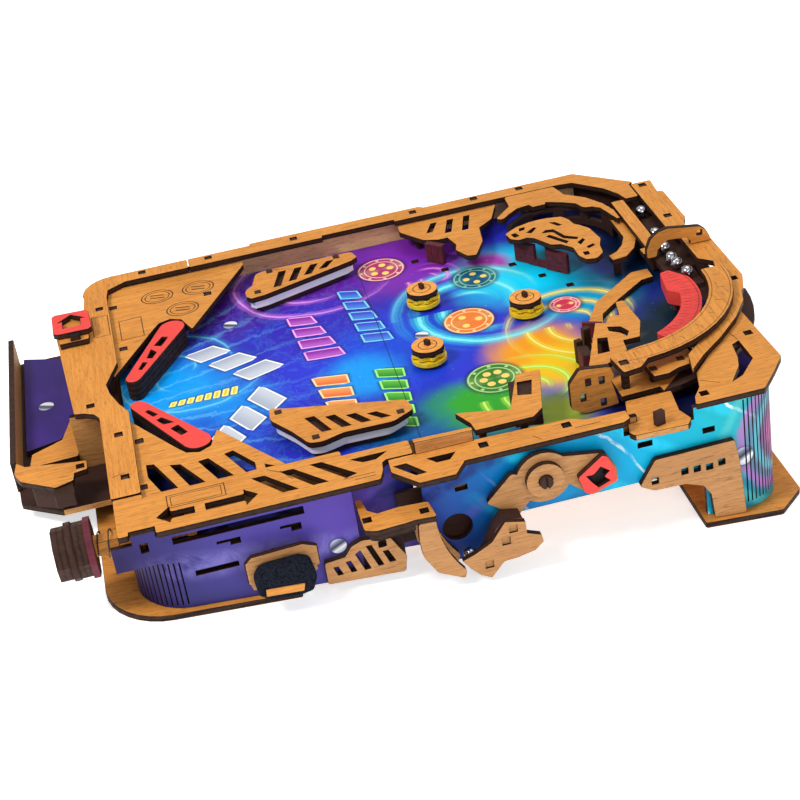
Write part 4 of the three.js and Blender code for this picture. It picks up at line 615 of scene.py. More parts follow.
# The board's own made-up print, with painted shade: near-black under the near apron, beside the launch lane
# and under the arch and the track at the back.
def fieldPrintAndShade():
    material, tree, shader = newMaterial("fieldPrintAndShade")
    settings = fieldSettings
    vector = boardSocket(tree)
    along, across = boardPlaces(tree, vector)
    wander = noise(tree, vector, settings["wanderScale"], 4, 0.6, 0.6)
    fine = noise(tree, vector, settings["fineScale"], 5, 0.7, 1.2)
    base = mixColour(tree, wander.ramp(0.3, 0.7), groundTone, faded(groundTone, 1.6))
    for (middleAlong, middleAcross), reach, tone, strength in pools:
        away = distance(along - middleAlong, across - middleAcross) + (wander - 0.5) * (reach * 0.7)
        base = mixColour(tree, away.ramp(reach, reach * 0.35) * strength, base, tone)
    wisps = (fine - wander * 0.5 - 0.25).size().ramp(0.05, 0.0) * along.ramp(*settings["wispEnd"])
    base = mixColour(tree, wisps * 0.1, base, settings["wispTone"])
    for spiral in spirals:
        base = spiralArms(tree, base, along, across, spiral, wander, fine)
    fanAlong, fanAcross = settings["fanPlace"]
    fanTurn = (across - fanAcross).angle(along - fanAlong)
    rays = (fanTurn * settings["fanBlades"] + fine * 6).sine().ramp(0.8, 1.0)
    base = mixColour(tree, rays * along.ramp(*settings["fanEnd"]) * 0.3, base, settings["fanTone"])
    for lane in lozengeLanes:
        base = lozenges(tree, base, along, across, lane)
    for disc in medallions:
        base = medallion(tree, base, along, across, disc, fine)
    for ballAlong, ballAcross, radius in printedBalls:
        base = printedBall(tree, base, along - ballAlong, across - ballAcross, radius)
    # Painted shade: the field goes near-black under the near apron and beside the launch lane, where plates
    # hide it from the light.
    underApron = (across * 0.9 - along).ramp(2, 5) * across.ramp(*settings["apronAcross"])
    ends = along.ramp(*settings["shadeFront"]).most(along.ramp(*settings["shadeBack"]))
    shaded = (across.ramp(*settings["shadeAcross"]) * ends).most(underApron)
    base = mixColour(tree, shaded * 0.92, base, settings["shadeTone"])
    sparkle = noise(tree, vector, 700, 1).ramp(0.76, 0.8)
    base = mixColour(tree, sparkle * 0.2, base, settings["sparkleTone"])
    seam = (along + across * settings["seamSlope"] - settings["seamAlong"]).size().ramp(0.26, 0.12)
    base = mixColour(tree, seam * 0.8, base, settings["seamTone"])
    height = noise(tree, vector, 900, 2)
    finish(tree, shader, base, fine * 0.14 + 0.26, height, settings["bump"], settings["specular"])
    return material


# How far the arms wander, how their light fades at both ends, and how broad, fine and bright they are.
spiralSettings = {
    "wander": 5,
    "fray": 0.12,
    "innerFade": 0.6,
    "outerFade": 0.75,
    "gaps": (1.5, 0.09),
    "gapRange": (-0.8, 0.3),
    "broad": 3.8,
    "core": 0.3,
    "hairCount": 37.7,
    "broadShare": 0.75,
    "hairShare": 0.6,
    "coreShare": 0.85,
    "whitened": 0.2,
}


def spiralArms(tree, base, along, across, spiral, wander, fine):
    settings = spiralSettings
    u = along - spiral["place"][0]
    v = across - spiral["place"][1]
    reach = distance(u, v)
    turn = v.angle(u)
    arms = spiral["arms"] / (2 * math.pi)
    wandered = reach + (wander - 0.5) * settings["wander"]
    phase = wandered / spiral["pitch"] + turn * arms + fine * settings["fray"]
    inner, outer = spiral["reach"]
    risen = reach.ramp(inner * settings["innerFade"], inner)
    within = risen * reach.ramp(outer, outer * settings["outerFade"])
    gapsRound, gapsOut = settings["gaps"]
    side = (turn * gapsRound + reach * gapsOut).cosine().ramp(*settings["gapRange"])
    offset = (phase.part() - 0.5).size()
    width = spiral["width"]
    broad = offset.ramp(width * settings["broad"], 0.0) * within * side
    thin = offset.ramp(width, width * settings["core"]) * within * side
    hairs = (phase * settings["hairCount"] + fine * 3).sine().ramp(0.3, 1.0) * broad
    tint = spiral["tint"]
    strength = spiral["strength"]
    bright = tuple(settings["whitened"] + item * (1 - settings["whitened"]) for item in tint)
    dimmed = faded(tint, settings["broadShare"])
    base = mixColour(tree, broad * settings["broadShare"] * strength, base, dimmed)
    base = mixColour(tree, hairs * settings["hairShare"] * strength, base, tint)
    return mixColour(tree, thin * settings["coreShare"] * strength, base, bright)


# Lengths in millimetres, beside shares of a plate's step along its lane.
lozengeSettings = {
    "slant": 0.2,
    "halfShare": 0.38,
    "soft": 0.2,
    "line": (-0.45, 0.3, 0.2),
    "haloReach": 1.8,
    "haloShare": 0.6,
    "haloTone": (0.006, 0.008, 0.06),
    "shineStart": 0.35,
    "shineReach": 0.7,
    "shineShare": 0.4,
    "fillShare": 0.96,
    "lift": 0.12,
}


# A row of slanted plates that grow along their lane, each with a bright outline and a dark halo.
def lozenges(tree, base, along, across, lane):
    settings = lozengeSettings
    startAlong, startAcross = lane["start"]
    endAlong, endAcross = lane["end"]
    length = math.hypot(endAlong - startAlong, endAcross - startAcross)
    cosine = (endAlong - startAlong) / length
    sine = (endAcross - startAcross) / length
    u = (along - startAlong) * cosine + (across - startAcross) * sine
    v = (across - startAcross) * cosine - (along - startAlong) * sine
    step = length / lane["count"]
    cell = (u / step).part() - 0.5
    inLane = u.ramp(-0.1, 0.1) * u.ramp(length + 0.1, length - 0.1)
    half = u * ((lane["large"] - lane["small"]) / length) + lane["small"]
    slant = cell + v / half * settings["slant"]
    reach = ((slant.size() - settings["halfShare"]) * step).most(v.size() - half)
    fill = reach.ramp(settings["soft"], -settings["soft"]) * inLane
    line = reach.band(*settings["line"]) * inLane
    halo = reach.ramp(settings["haloReach"], 0.0) * inLane
    base = mixColour(tree, halo * settings["haloShare"], base, settings["haloTone"])
    shine = (slant + settings["shineStart"]).ramp(0.0, settings["shineReach"])
    tone = mixColour(tree, shine * settings["shineShare"], lane["fill"], lane["line"])
    base = mixColour(tree, fill * settings["fillShare"], base, tone)
    return mixColour(tree, line, base, lifted(lane["line"], settings["lift"]))


# Shares of the radius, and lengths in millimetres.
medallionSettings = {
    "innerShare": 0.7,
    "tickShare": 0.84,
    "pipShare": 0.15,
    "pipRingShare": 0.4,
    "soft": 0.15,
    "rimInset": 0.6,
    "rimWidth": 0.3,
    "innerWidth": 0.25,
    "tickHalf": 0.6,
    "tickCount": 8,
    "haloReach": 2.5,
    "lift": 0.1,
    "pipTone": (1.0, 0.7, 0.18),
}


# A round mark with a rim, an inner ring, ticks and a ring of pips.
def medallion(tree, base, along, across, disc, fine):
    u = along - disc["place"][0]
    v = across - disc["place"][1]
    settings = medallionSettings
    reach = distance(u, v)
    radius = disc["radius"]
    soft = settings["soft"]
    turn = v.angle(u)
    inside = reach.ramp(radius + soft, radius - soft)
    rim = reach.band(radius - settings["rimInset"], settings["rimWidth"], soft)
    inner = reach.band(radius * settings["innerShare"], settings["innerWidth"], soft)
    spokes = (turn * settings["tickCount"]).cosine().ramp(0.78, 0.86)
    ticks = spokes * reach.band(radius * settings["tickShare"], settings["tickHalf"], soft)
    base = mixColour(tree, reach.ramp(radius + settings["haloReach"], radius) * 0.6, base, nightBlue)
    sheen = (turn * 2 - 0.8 + fine * 2).cosine().ramp(0.3, 1.0)
    tone = mixColour(tree, sheen * 0.45, disc["fill"], faded(disc["line"], 0.6))
    base = mixColour(tree, inside, base, tone)
    count = disc["pips"]
    size = radius * settings["pipShare"]
    sector = (turn * (count / (2 * math.pi)) + 0.5).part() - 0.5
    arc = sector * (2 * math.pi / count)
    pipAlong = reach * arc.cosine() - radius * settings["pipRingShare"]
    pip = distance(pipAlong, reach * arc.sine()).ramp(size + soft, size - soft)
    base = mixColour(tree, pip, base, settings["pipTone"])
    marks = rim.most(inner).most(ticks)
    return mixColour(tree, marks * 0.9, base, lifted(disc["line"], settings["lift"]))


ballStops = [
    (0.0, (0.6, 0.64, 0.76)), (0.3, (0.95, 0.96, 1.0)), (0.44, (0.3, 0.33, 0.42)),
    (0.56, (0.03, 0.03, 0.06)), (0.78, (0.2, 0.22, 0.34)), (1.0, (0.55, 0.6, 0.75)),
]


printedBallSettings = {"soft": 0.12, "haloReach": 1.4, "haloShare": 0.5, "haloTone": (0.01, 0.01, 0.05)}


# A printed steel ball over a ground colour: dark and bright bands across a disc, given in millimetres.
def makeBallGroup():
    settings = printedBallSettings
    labels = ("Along", "Up", "Radius")
    inputs = [("Base", "NodeSocketColor")] + [(label, "NodeSocketFloat") for label in labels]
    group, start, end = newGroup("printedBall", inputs, [("Color", "NodeSocketColor")])
    u, v, radius = (Shade(group, start.outputs[label]) for label in labels)
    reach = distance(u, v)
    inside = reach.ramp(radius + settings["soft"], radius - settings["soft"])
    shine = (v - u * 0.5) / radius
    tone = rampColour(group, shine.ramp(-1.1, 1.1, False), ballStops)
    halo = reach.ramp(radius + settings["haloReach"], radius) * settings["haloShare"]
    base = mixColour(group, halo, start.outputs["Base"], settings["haloTone"])
    setInput(group, end, "Color", mixColour(group, inside, base, tone))
    return group


ballGroup = makeBallGroup()


def printedBall(tree, base, u, v, radius):
    node = useGroup(tree, ballGroup, {"Base": base, "Along": u, "Up": v, "Radius": radius})
    return node.outputs["Color"]


# The side walls' ground colour from the player's end to the back, in shares of their length.
wallStops = [
    (0.0, (0.02, 0.012, 0.08)),
    (0.09, (0.05, 0.04, 0.22)),
    (0.2, (0.085, 0.06, 0.36)),
    (0.33, (0.1, 0.05, 0.38)),
    (0.42, (0.024, 0.06, 0.38)),
    (0.52, (0.0, 0.16, 0.5)),
    (0.66, (0.0, 0.33, 0.66)),
    (0.8, (0.0, 0.5, 0.78)),
    (0.9, (0.01, 0.46, 0.52)),
    (1.0, (0.05, 0.2, 0.3)),
]
wallBeams = [
    {"turn": 34, "pitch": 23, "width": 0.03, "soft": 0.16,
     "tint": (0.02, 0.7, 1.0), "strength": 0.8, "span": (140, 240)},
    {"turn": -22, "pitch": 37, "width": 0.03, "soft": 0.1,
     "tint": (0.01, 0.012, 0.14), "strength": 0.7, "span": (60, 180)},
    {"turn": 52, "pitch": 41, "width": 0.01, "soft": 0.012,
     "tint": (0.8, 0.95, 1.0), "strength": 0.9, "span": (150, 250)},
    {"turn": 8, "pitch": 29, "width": 0.04, "soft": 0.24,
     "tint": (0.3, 0.27, 0.72), "strength": 0.45, "span": (14, 100)},
    {"turn": -34, "pitch": 27, "width": 0.02, "soft": 0.1,
     "tint": (0.16, 0.1, 0.6), "strength": 0.5, "span": (70, 140)},
]
wallBalls = [(79, -26, 3.2), (240, -30, 4.0)]
wallRings = [(13, (0.75, 0.12, 0.4)), (20, (0.05, 0.7, 0.8)), (27, (0.6, 0.1, 0.6)), (34, (0.1, 0.6, 0.6))]


wallSettings = {
    "length": 262,
    "wanderScale": 14,
    "fineScale": 60,
    "footShade": (-22, -44),
    "footTone": (0.01, 0.02, 0.09),
    "swirlPlace": (266, -26),
    "swirlReach": (34, 14),
    "swirlTone": (0.24, 0.03, 0.2),
    "bump": (0.15, 0.00006),
    "specular": 0.16,
}


# The side walls' own made-up print: violet at the front, then blue, turquoise and a rosy swirl at the back,
# with painted shade that darkens them towards the foot.
def wallPrintAndShade():
    material, tree, shader = newMaterial("wallPrintAndShade")
    settings = wallSettings
    vector = boardSocket(tree)
    _, y, z = axes(tree, vector)
    along = y / mm
    up = z / mm
    wander = noise(tree, vector, settings["wanderScale"], 4, 0.6, 0.8)
    fine = noise(tree, vector, settings["fineScale"], 5, 0.7, 1.4)
    slide = (along + (wander - 0.5) * 30 + up * 0.3) / settings["length"]
    base = rampColour(tree, slide.ramp(0.0, 1.0, False), wallStops)
    # Painted shade: the walls darken towards their foot.
    base = mixColour(tree, up.ramp(*settings["footShade"]) * 0.45, base, settings["footTone"])
    for beam in wallBeams:
        cosine = math.cos(math.radians(beam["turn"]))
        sine = math.sin(math.radians(beam["turn"]))
        run = (up * cosine + along * sine) / beam["pitch"] + (wander - 0.5) * 0.5
        start, end = beam["span"]
        within = along.ramp(start - 16, start + 16) * along.ramp(end + 16, end - 16)
        band = run.part().band(0.5, beam["width"], beam["soft"]) * within
        base = mixColour(tree, band * fine.ramp(0.3, 0.6) * beam["strength"], base, beam["tint"])
    swirlAlong, swirlUp = settings["swirlPlace"]
    reach = distance(along - swirlAlong, up - swirlUp) + (fine - 0.5) * 5
    base = mixColour(tree, reach.ramp(*settings["swirlReach"]) * 0.85, base, settings["swirlTone"])
    for radius, tint in wallRings:
        base = mixColour(tree, (reach - radius).size().ramp(3.0, 0.5) * 0.55, base, tint)
    for ballAlong, ballUp, radius in wallBalls:
        base = printedBall(tree, base, along - ballAlong, up - ballUp, radius)
    height = noise(tree, vector, 700, 3)
    finish(tree, shader, base, fine * 0.16 + 0.3, height, settings["bump"], settings["specular"])
    return material


traySettings = {
    "wanderScale": 20,
    "fineScale": 110,
    "tones": ((0.028, 0.01, 0.13), (0.06, 0.022, 0.26)),
    "starTone": (0.16, 0.1, 0.6),
    "ball": (-25, -46, 3.4),
    "bump": (0.12, 0.00005),
    "specular": 0.16,
}


# The ball tray's floor: deep violet with soft pale flecks and one printed ball.
def trayPrint():
    material, tree, shader = newMaterial("trayPrint")
    settings = traySettings
    vector = boardSocket(tree)
    along, across = boardPlaces(tree, vector)
    wander = noise(tree, vector, settings["wanderScale"], 4, 0.6, 0.6)
    fine = noise(tree, vector, settings["fineScale"], 4, 0.7)
    base = mixColour(tree, wander.ramp(0.3, 0.7), *settings["tones"])
    base = mixColour(tree, fine.ramp(0.62, 0.75) * 0.3, base, settings["starTone"])
    ballAlong, ballAcross, radius = settings["ball"]
    base = printedBall(tree, base, along - ballAlong, across - ballAcross, radius)
    finish(tree, shader, base, fine * 0.16 + 0.3, fine, settings["bump"], settings["specular"])
    return material


# Uneven tone and fine specks of rubber and foam.
def makeMottleGroup():
    group, start, end = newGroup(
        "rubberMottle",
        [("Vector", "NodeSocketVector"), ("Scale", "NodeSocketFloat")],
        [("Mottle", "NodeSocketFloat"), ("Speck", "NodeSocketFloat")],
    )
    vector = start.outputs["Vector"]
    scale = Shade(group, start.outputs["Scale"])
    setInput(group, end, "Mottle", noise(group, vector, scale, 4, 0.6))
    setInput(group, end, "Speck", noise(group, vector, scale * 4, 2, 0.5).ramp(0.55, 0.7))
    return group


mottleGroup = makeMottleGroup()
rubberSettings = {"mottleRange": (0.35, 0.7), "speckShare": 0.3, "roughSpread": 0.2, "bump": (0.3, 0.00015)}


def rubberMaterial(name, light, deep, gloss, scale, sheen):
    material, tree, shader = newMaterial(name)
    settings = rubberSettings
    node = useGroup(tree, mottleGroup, {"Vector": boardSocket(tree), "Scale": scale})
    mottle, speck = (Shade(tree, node.outputs[label]) for label in ("Mottle", "Speck"))
    base = mixColour(tree, mottle.ramp(*settings["mottleRange"]), light, deep)
    base = mixColour(tree, speck * settings["speckShare"], base, deep)
    roughness = mottle * settings["roughSpread"] + (gloss - settings["roughSpread"] / 2)
    finish(tree, shader, base, roughness, speck + mottle, settings["bump"], sheen)
    return material


# Heights in millimetres: the scorched ply above, the groove round the middle and the foot below.
ringSettings = {
    "scale": 300,
    "top": (-6.2, -6.1),
    "groove": (-7.85, 0.1, 0.08),
    "foot": (-10.25, -10.35),
    "roughness": 0.36,
    "scorchRough": 0.25,
    "bump": (0.3, 0.00015),
    "specular": 0.4,
}


# The bumpers' sides: yellow rubber between a scorched ply above and a dark foot below.
def ringMaterial():
    material, tree, shader = newMaterial("ringRubber")
    settings = ringSettings
    vector = boardSocket(tree)
    up = axes(tree, vector)[2] / mm
    node = useGroup(tree, mottleGroup, {"Vector": vector, "Scale": settings["scale"]})
    mottle = Shade(tree, node.outputs["Mottle"])
    base = mixColour(tree, mottle.ramp(*rubberSettings["mottleRange"]), tones["yellow"], tones["yellowDeep"])
    scorched = up.ramp(*settings["top"]).most(up.band(*settings["groove"])).most(up.ramp(*settings["foot"]))
    base = mixColour(tree, scorched, base, tones["dark"])
    roughness = scorched * settings["scorchRough"] + settings["roughness"]
    finish(tree, shader, base, roughness, mottle - scorched, settings["bump"], settings["specular"])
    return material


steelSettings = {
    "scuffScale": 500,
    "scuffRange": (0.4, 0.8),
    "scuffShare": 0.5,
    "scuffTone": 0.55,
    "roughSpread": 0.12,
}


# Fine uneven wear on steel.
def makeScuffGroup():
    group, start, end = newGroup(
        "steelScuffs", [("Vector", "NodeSocketVector")], [("Scuff", "NodeSocketFloat")]
    )
    setInput(group, end, "Scuff", noise(group, start.outputs["Vector"], steelSettings["scuffScale"], 4, 0.7))
    return group


scuffGroup = makeScuffGroup()


def steelMaterial(name, tint, roughness):
    material, tree, shader = newMaterial(name)
    settings = steelSettings
    scuff = Shade(tree, useGroup(tree, scuffGroup, {"Vector": boardSocket(tree)}).outputs["Scuff"])
    share = scuff.ramp(*settings["scuffRange"]) * settings["scuffShare"]
    setInput(tree, shader, "Base Color", mixColour(tree, share, tint, faded(tint, settings["scuffTone"])))
    setInput(tree, shader, "Roughness", scuff * settings["roughSpread"] + roughness)
    shader.inputs["Metallic"].default_value = 1.0
    return material


ringPlaces = ((33, -83), (52, -83), (43, -66))
strokeSteps = (-1.3, 1.3)
apronMarks = engravedLines(
    [("ellipse", along, across, 7.2, 6.2, 0, 0.2) for along, across in ringPlaces]
    + [("ellipse", along, across, 5.6, 4.7, 0, 0.14) for along, across in ringPlaces]
    + [
        ("fill", along, across + step, 3.2, 0.4, 14, 0)
        for along, across in ringPlaces for step in strokeSteps
    ]
    + [("box", 19, -58, 5.0, 9, 0, 0.14)]
)

coverMarks = engravedLines([
    ("box", 31.5, 90.5, 11, 4.2, 0, 0.14),
    ("box", 31.5, 90.5, 9.6, 3.0, 0, 0.1),
    ("fill", 62, 86.5, 3.2, 0.16, 38, 0),
    ("fill", 66, 91, 4.2, 0.16, 62, 0),
    ("fill", 92, 103, 6, 0.16, 0, 0),
    ("fill", 94, 105, 4, 0.16, 0, 0),
])

crossbarMarks = engravedLines([
    ("box", 6, -61, 3.6, 9.5, 0, 0.14),
    ("box", -3, -57, 2.6, 5.2, 0, 0.12),
    ("fill", -3.5, 58, 1.2, 0.14, 30, 0),
    ("fill", 4, 64, 2.4, 0.14, -20, 0),
    ("fill", 7, 67, 1.6, 0.14, 40, 0),
])

railMarks = engravedLines([
    ("fill", 214, 115, 5, 0.14, 0, 0),
    ("fill", 246, 60, 3, 0.14, 70, 0),
    ("fill", 252, 66, 5, 0.14, 80, 0),
    ("fill", 232, 96, 4, 0.14, 35, 0),
    ("fill", 128, -105, 4, 0.14, 0, 0),
    ("fill", 180, 105.5, 5, 0.14, 0, 0),
    ("fill", 160, 106, 2, 0.14, 55, 0),
])

bumperPlaces = ((147, -35.3), (138.2, 14.1), (186.6, -7.2))
bumperMarks = engravedLines([("ellipse", along, across, 3.9, 3.9, 0, 0.17) for along, across in bumperPlaces])

trackMiddle = (209.5, 22.0)
arcDepth = 0.7


# Burnt rings, as radius and width, and short ticks that follow the curved track, in millimetres.
def arcMarks(rings, ticks):
    def marks(tree, vector):
        along, across = boardPlaces(tree, vector)
        u = along - trackMiddle[0]
        v = across - trackMiddle[1]
        reach = distance(u, v)
        turn = v.angle(u)
        total = None
        for radius, width in rings:
            ring = reach.band(radius, width, 0.1)
            total = ring if total is None else total.most(ring)
        for radius, half, count, width in ticks:
            spoke = ((turn * (count / (2 * math.pi))).part() - 0.5).size() * (2 * math.pi * radius / count)
            total = total.most(spoke.ramp(width + 0.06, width) * reach.band(radius, half, 0.1))
        return total * arcDepth

    return marks


tabDisc = {"along": 180.3, "up": -18.6, "reach": (5.6, 5.2)}


# Scorched wood that shows through the arrow of the red plate on the lever.
def leverMarks(tree, vector):
    _, y, z = axes(tree, vector)
    return distance(y / mm - tabDisc["along"], z / mm - tabDisc["up"]).ramp(*tabDisc["reach"])


def makeMaterials():
    light, deep = tones["woodLight"], tones["woodDark"]
    capTones = (tones["capLight"], tones["capDark"])
    sideInShadeTones = (tones["sideInShadeLight"], tones["sideInShadeDark"])
    wallInShadeTones = (tones["wallInShadeLight"], tones["wallInShadeDark"])
    innerTones = (tones["innerLight"], tones["innerDark"])
    redTones = (tones["red"], tones["redDeep"])
    returnMarks = arcMarks([(48.3, 0.12), (55.8, 0.12)], [(52, 1.6, 30, 0.12)])
    deflectorMarks = arcMarks([(42.8, 0.1)], [(38.4, 1.5, 96, 0.08)])
    return {
        "wood": woodMaterial("woodFace", light, deep),
        "woodAcross": woodMaterial("woodAcross", light, deep, "x"),
        "apronWood": woodMaterial("apronWood", light, deep, "y", apronMarks),
        "coverWood": woodMaterial("coverWood", light, deep, "y", coverMarks),
        "crossbarWood": woodMaterial("crossbarWood", light, deep, "x", crossbarMarks),
        "railWood": woodMaterial("railWood", light, deep, "y", railMarks),
        "capWood": woodMaterial("capWood", *capTones, "y", bumperMarks),
        # Darker copies of the wood are painted shade: on upright side plates, the lever, and walls and faces
        # that lie in shadow.
        "sideWoodInShade": woodMaterial("sideWoodInShade", *sideInShadeTones),
        "leverWoodInShade": woodMaterial("leverWoodInShade", *sideInShadeTones, "y", leverMarks),
        "returnWood": woodMaterial("returnWood", light, deep, "x", returnMarks),
        "wallWoodInShade": woodMaterial("wallWoodInShade", *wallInShadeTones, "y", None, 0.55),
        "innerWood": woodMaterial("innerWood", *innerTones, "y", None, 0.55),
        # Black-painted ply, also used as painted shade inside the side walls' bends, under the arch and on
        # the dark sheets inside the case.
        "darkWoodAndShade": paintMaterial("darkWoodAndShade", tones["darkLight"], tones["dark"], 0.62),
        "red": paintMaterial("redPaint", *redTones, 0.45),
        "redArc": woodMaterial("redArc", *redTones, "y", deflectorMarks, 0.45),
        "maroon": paintMaterial("maroonPaint", tones["maroon"], tones["maroonDeep"], 0.6, 0.6),
        "yellow": rubberMaterial("yellowRubber", tones["yellow"], tones["yellowDeep"], 0.4, 300, 0.4),
        "white": paintMaterial("whiteBand", tones["white"], tones["whiteDeep"], 0.3, 0.12, 0.8),
        "ring": ringMaterial(),
        "foam": rubberMaterial("blackFoam", tones["foamLight"], tones["foam"], 0.92, 900, 0.06),
        "fieldPrintAndShade": fieldPrintAndShade(),
        "wallPrintAndShade": wallPrintAndShade(),
        "trayPrint": trayPrint(),
        "steel": steelMaterial("ballSteel", (0.48, 0.48, 0.52), 0.06),
        "wire": steelMaterial("springWire", (0.12, 0.11, 0.1), 0.3),
    }


materials = makeMaterials()
print("materials made")


def recordSlot(node):
    return next(row["material_slot"] for row in frame["record"]["subparts"] if row["node"] == node)


def bodyOf(node):
    bodies = frame["record"]["behaviour"]["bodies"]
    return next(name for name, nodes in bodies.items() if node in nodes)


# The case's axis along which the piece is thinnest, and where the piece starts on it.
def thinAxis(mesh):
    points = [toBoard(vertex.co) for vertex in mesh.vertices]
    lows = [min(point[axis] for point in points) for axis in range(3)]
    highs = [max(point[axis] for point in points) for axis in range(3)]
    sizes = [high - low for low, high in zip(lows, highs)]
    axis = sizes.index(min(sizes))
    return axis, lows[axis]


# Lengths in metres. An edge sharper than this turn is softened, and an upright corner is rounded.
bevelSettings = {
    "width": 0.00014,
    "segments": 1,
    "sharpDegrees": 25,
    "corner": 0.0009,
    "cornerSegments": 3,
    "cornerDegrees": 22,
    "cornerTallest": 0.02,
    "sideShare": 2.3,
    "mergeReach": 0.000002,
}


def bevelEdges(shape, edges, offset, segments):
    bmesh.ops.bevel(
        shape, geom=edges, offset=offset, offset_type="OFFSET", segments=segments, profile=0.5,
        affect="EDGES", clamp_overlap=True, material=-1,
    )


# Rounds the outline's outer corners, where both sides are long enough for it.
def roundCorners(shape, axis, radius):
    settings = bevelSettings
    direction = boardTurn @ Vector([1.0 if index == axis else 0.0 for index in range(3)])
    chosen = []
    for edge in shape.edges:
        if len(edge.link_faces) != 2 or not edge.is_convex or edge.calc_length() > settings["cornerTallest"]:
            continue
        heading = (edge.verts[1].co - edge.verts[0].co).normalized()
        turn = edge.calc_face_angle(0)
        if abs(heading.dot(direction)) < 0.99 or turn < math.radians(settings["cornerDegrees"]):
            continue
        widths = [face.calc_area() / edge.calc_length() for face in edge.link_faces]
        if min(widths) > radius * settings["sideShare"]:
            chosen.append(edge)
    if chosen:
        bevelEdges(shape, chosen, radius, settings["cornerSegments"])


# Cuts off what lies outside a place across the case, and closes the cut.
def trimmed(shape, cutPlace):
    cut = bmesh.ops.bisect_plane(
        shape, geom=shape.verts[:] + shape.edges[:] + shape.faces[:], plane_co=toWorld((cutPlace, 0, 0)),
        plane_no=(math.copysign(1, cutPlace), 0, 0), clear_outer=True,
    )
    rim = [item for item in cut["geom_cut"] if isinstance(item, bmesh.types.BMEdge)]
    bmesh.ops.holes_fill(shape, edges=rim, sides=0)


# Joins the flat faces' triangles, rounds the corners and takes the sharpness off the edges.
def softened(mesh, axis, radius, cutPlace):
    settings = bevelSettings
    shape = bmesh.new()
    shape.from_mesh(mesh)
    bmesh.ops.remove_doubles(shape, verts=shape.verts[:], dist=settings["mergeReach"])
    if cutPlace:
        trimmed(shape, cutPlace)
    bmesh.ops.dissolve_limit(
        shape, angle_limit=math.radians(1), use_dissolve_boundaries=False,
        verts=shape.verts[:], edges=shape.edges[:],
    )
    if radius:
        roundCorners(shape, axis, radius)
    least = math.radians(settings["sharpDegrees"])
    sharp = [edge for edge in shape.edges if len(edge.link_faces) == 2 and edge.calc_face_angle(0) > least]
    bevelEdges(shape, sharp, settings["width"], settings["segments"])
    shape.normal_update()
    return shape


def placePiece(name, mesh, body, slotName, replaced=None):
    piece = bpy.data.objects.new(name, mesh)
    bpy.context.scene.collection.objects.link(piece)
    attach(piece, body)
    if replaced:
        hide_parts(replaced)
    return piece


def addMaterials(mesh, names):
    for choice in names:
        mesh.materials.append(choice if isinstance(choice, bpy.types.Material) else materials[choice])


# The finished piece of a CAD node: same shape, soft edges, and a material for each face.
def dress(node, chooser, radius, cutPlace):
    source = frame["nodes"][node]
    axis, low = thinAxis(source.data)
    shape = softened(source.data, axis, radius, cutPlace)
    mesh = bpy.data.meshes.new(f"{node}Mesh")
    names = []
    for face in shape.faces:
        normal = boardBack @ face.normal
        middle = toBoard(face.calc_center_median()) / mm
        choice = chooser(normal, middle, axis, low)
        if choice not in names:
            names.append(choice)
        face.material_index = names.index(choice)
    shape.to_mesh(mesh)
    shape.free()
    addMaterials(mesh, names)
    return placePiece(f"{node}_piece", mesh, bodyOf(node), recordSlot(node), node)


# Each look below picks the material of one face from its direction, its middle in the case's own frame in
# millimetres, and the piece's thin axis and start. An edge's plies are counted from a place in metres.
facing = 0.9


def isLevel(normal):
    return abs(normal[2]) > facing


def facesUp(normal):
    return normal[2] > facing


def facesSide(normal):
    return abs(normal[0]) > facing


def plateLook(face="wood", edge=("burntLight", "burnt")):
    def look(normal, middle, axis, low):
        return face if abs(normal[axis]) > facing else edgeMaterial(axis, low, *edge)

    return look


# An upright plate that lies along the case.
def panelLook(face):
    def look(normal, middle, axis, low):
        return face if facesSide(normal) else edgeMaterial(0, low)

    return look


def darkLook(normal, middle, axis, low):
    return "darkWoodAndShade"


# Level faces by their height, and upright faces by the layer that they lie in, from the top down.
def layerLook(tops, sides):
    def look(normal, middle, axis, low):
        for height, choice in tops if isLevel(normal) else sides:
            if middle.z > height:
                return choice if isinstance(choice, str) else edgeMaterial(2, choice)
        return "darkWoodAndShade"

    return look


flipperLook = layerLook([(-2.9, "red")], [(-12, -0.0117)])
slingshotLook = layerLook(
    [(-3.15, "darkWoodAndShade"), (-3.6, "wood"), (-5.95, "darkWoodAndShade"), (-6.3, "white")],
    [(-5.9, -0.0058), (-9.6, "white")],
)
bumperLook = layerLook(
    [(-3.6, "capWood"), (-6.4, "darkWoodAndShade"), (-8.6, "yellow")],
    [(-5.9, -0.0058), (-11.9, "ring")],
)
farLaneLook = layerLook([(-3.2, "wood")], [(-5.4, -0.0053)])

playfieldLevels = {"print": -12, "slack": 0.2, "trimLow": -11.8, "trimHigh": -9, "frameTop": -14.6}
playfieldEdges = {"trim": -0.0117, "board": -0.0145}


def playfieldLook(normal, middle, axis, low):
    levels = playfieldLevels
    if facesUp(normal) and abs(middle.z - levels["print"]) < levels["slack"]:
        return "fieldPrintAndShade"
    if levels["trimLow"] < middle.z < levels["trimHigh"]:
        return "wood" if facesUp(normal) else edgeMaterial(2, playfieldEdges["trim"])
    if middle.z >= levels["trimHigh"]:
        return "darkWoodAndShade"
    if isLevel(normal) or middle.z < levels["frameTop"]:
        return "wallWoodInShade"
    return edgeMaterial(2, playfieldEdges["board"])


# A plate on top of dark posts: its upper face, its cut edge and what stands below it.
def raisedLook(top, plateLow, edge):
    def look(normal, middle, axis, low):
        if facesUp(normal) and middle.z > top:
            return "wood"
        return edgeMaterial(2, edge) if middle.z > plateLow else "darkWoodAndShade"

    return look


ornateLook = raisedLook(2, -0.1, 0)
laneSideLook = raisedLook(2, 0.2, 0.0003)
maroonEnd = 198


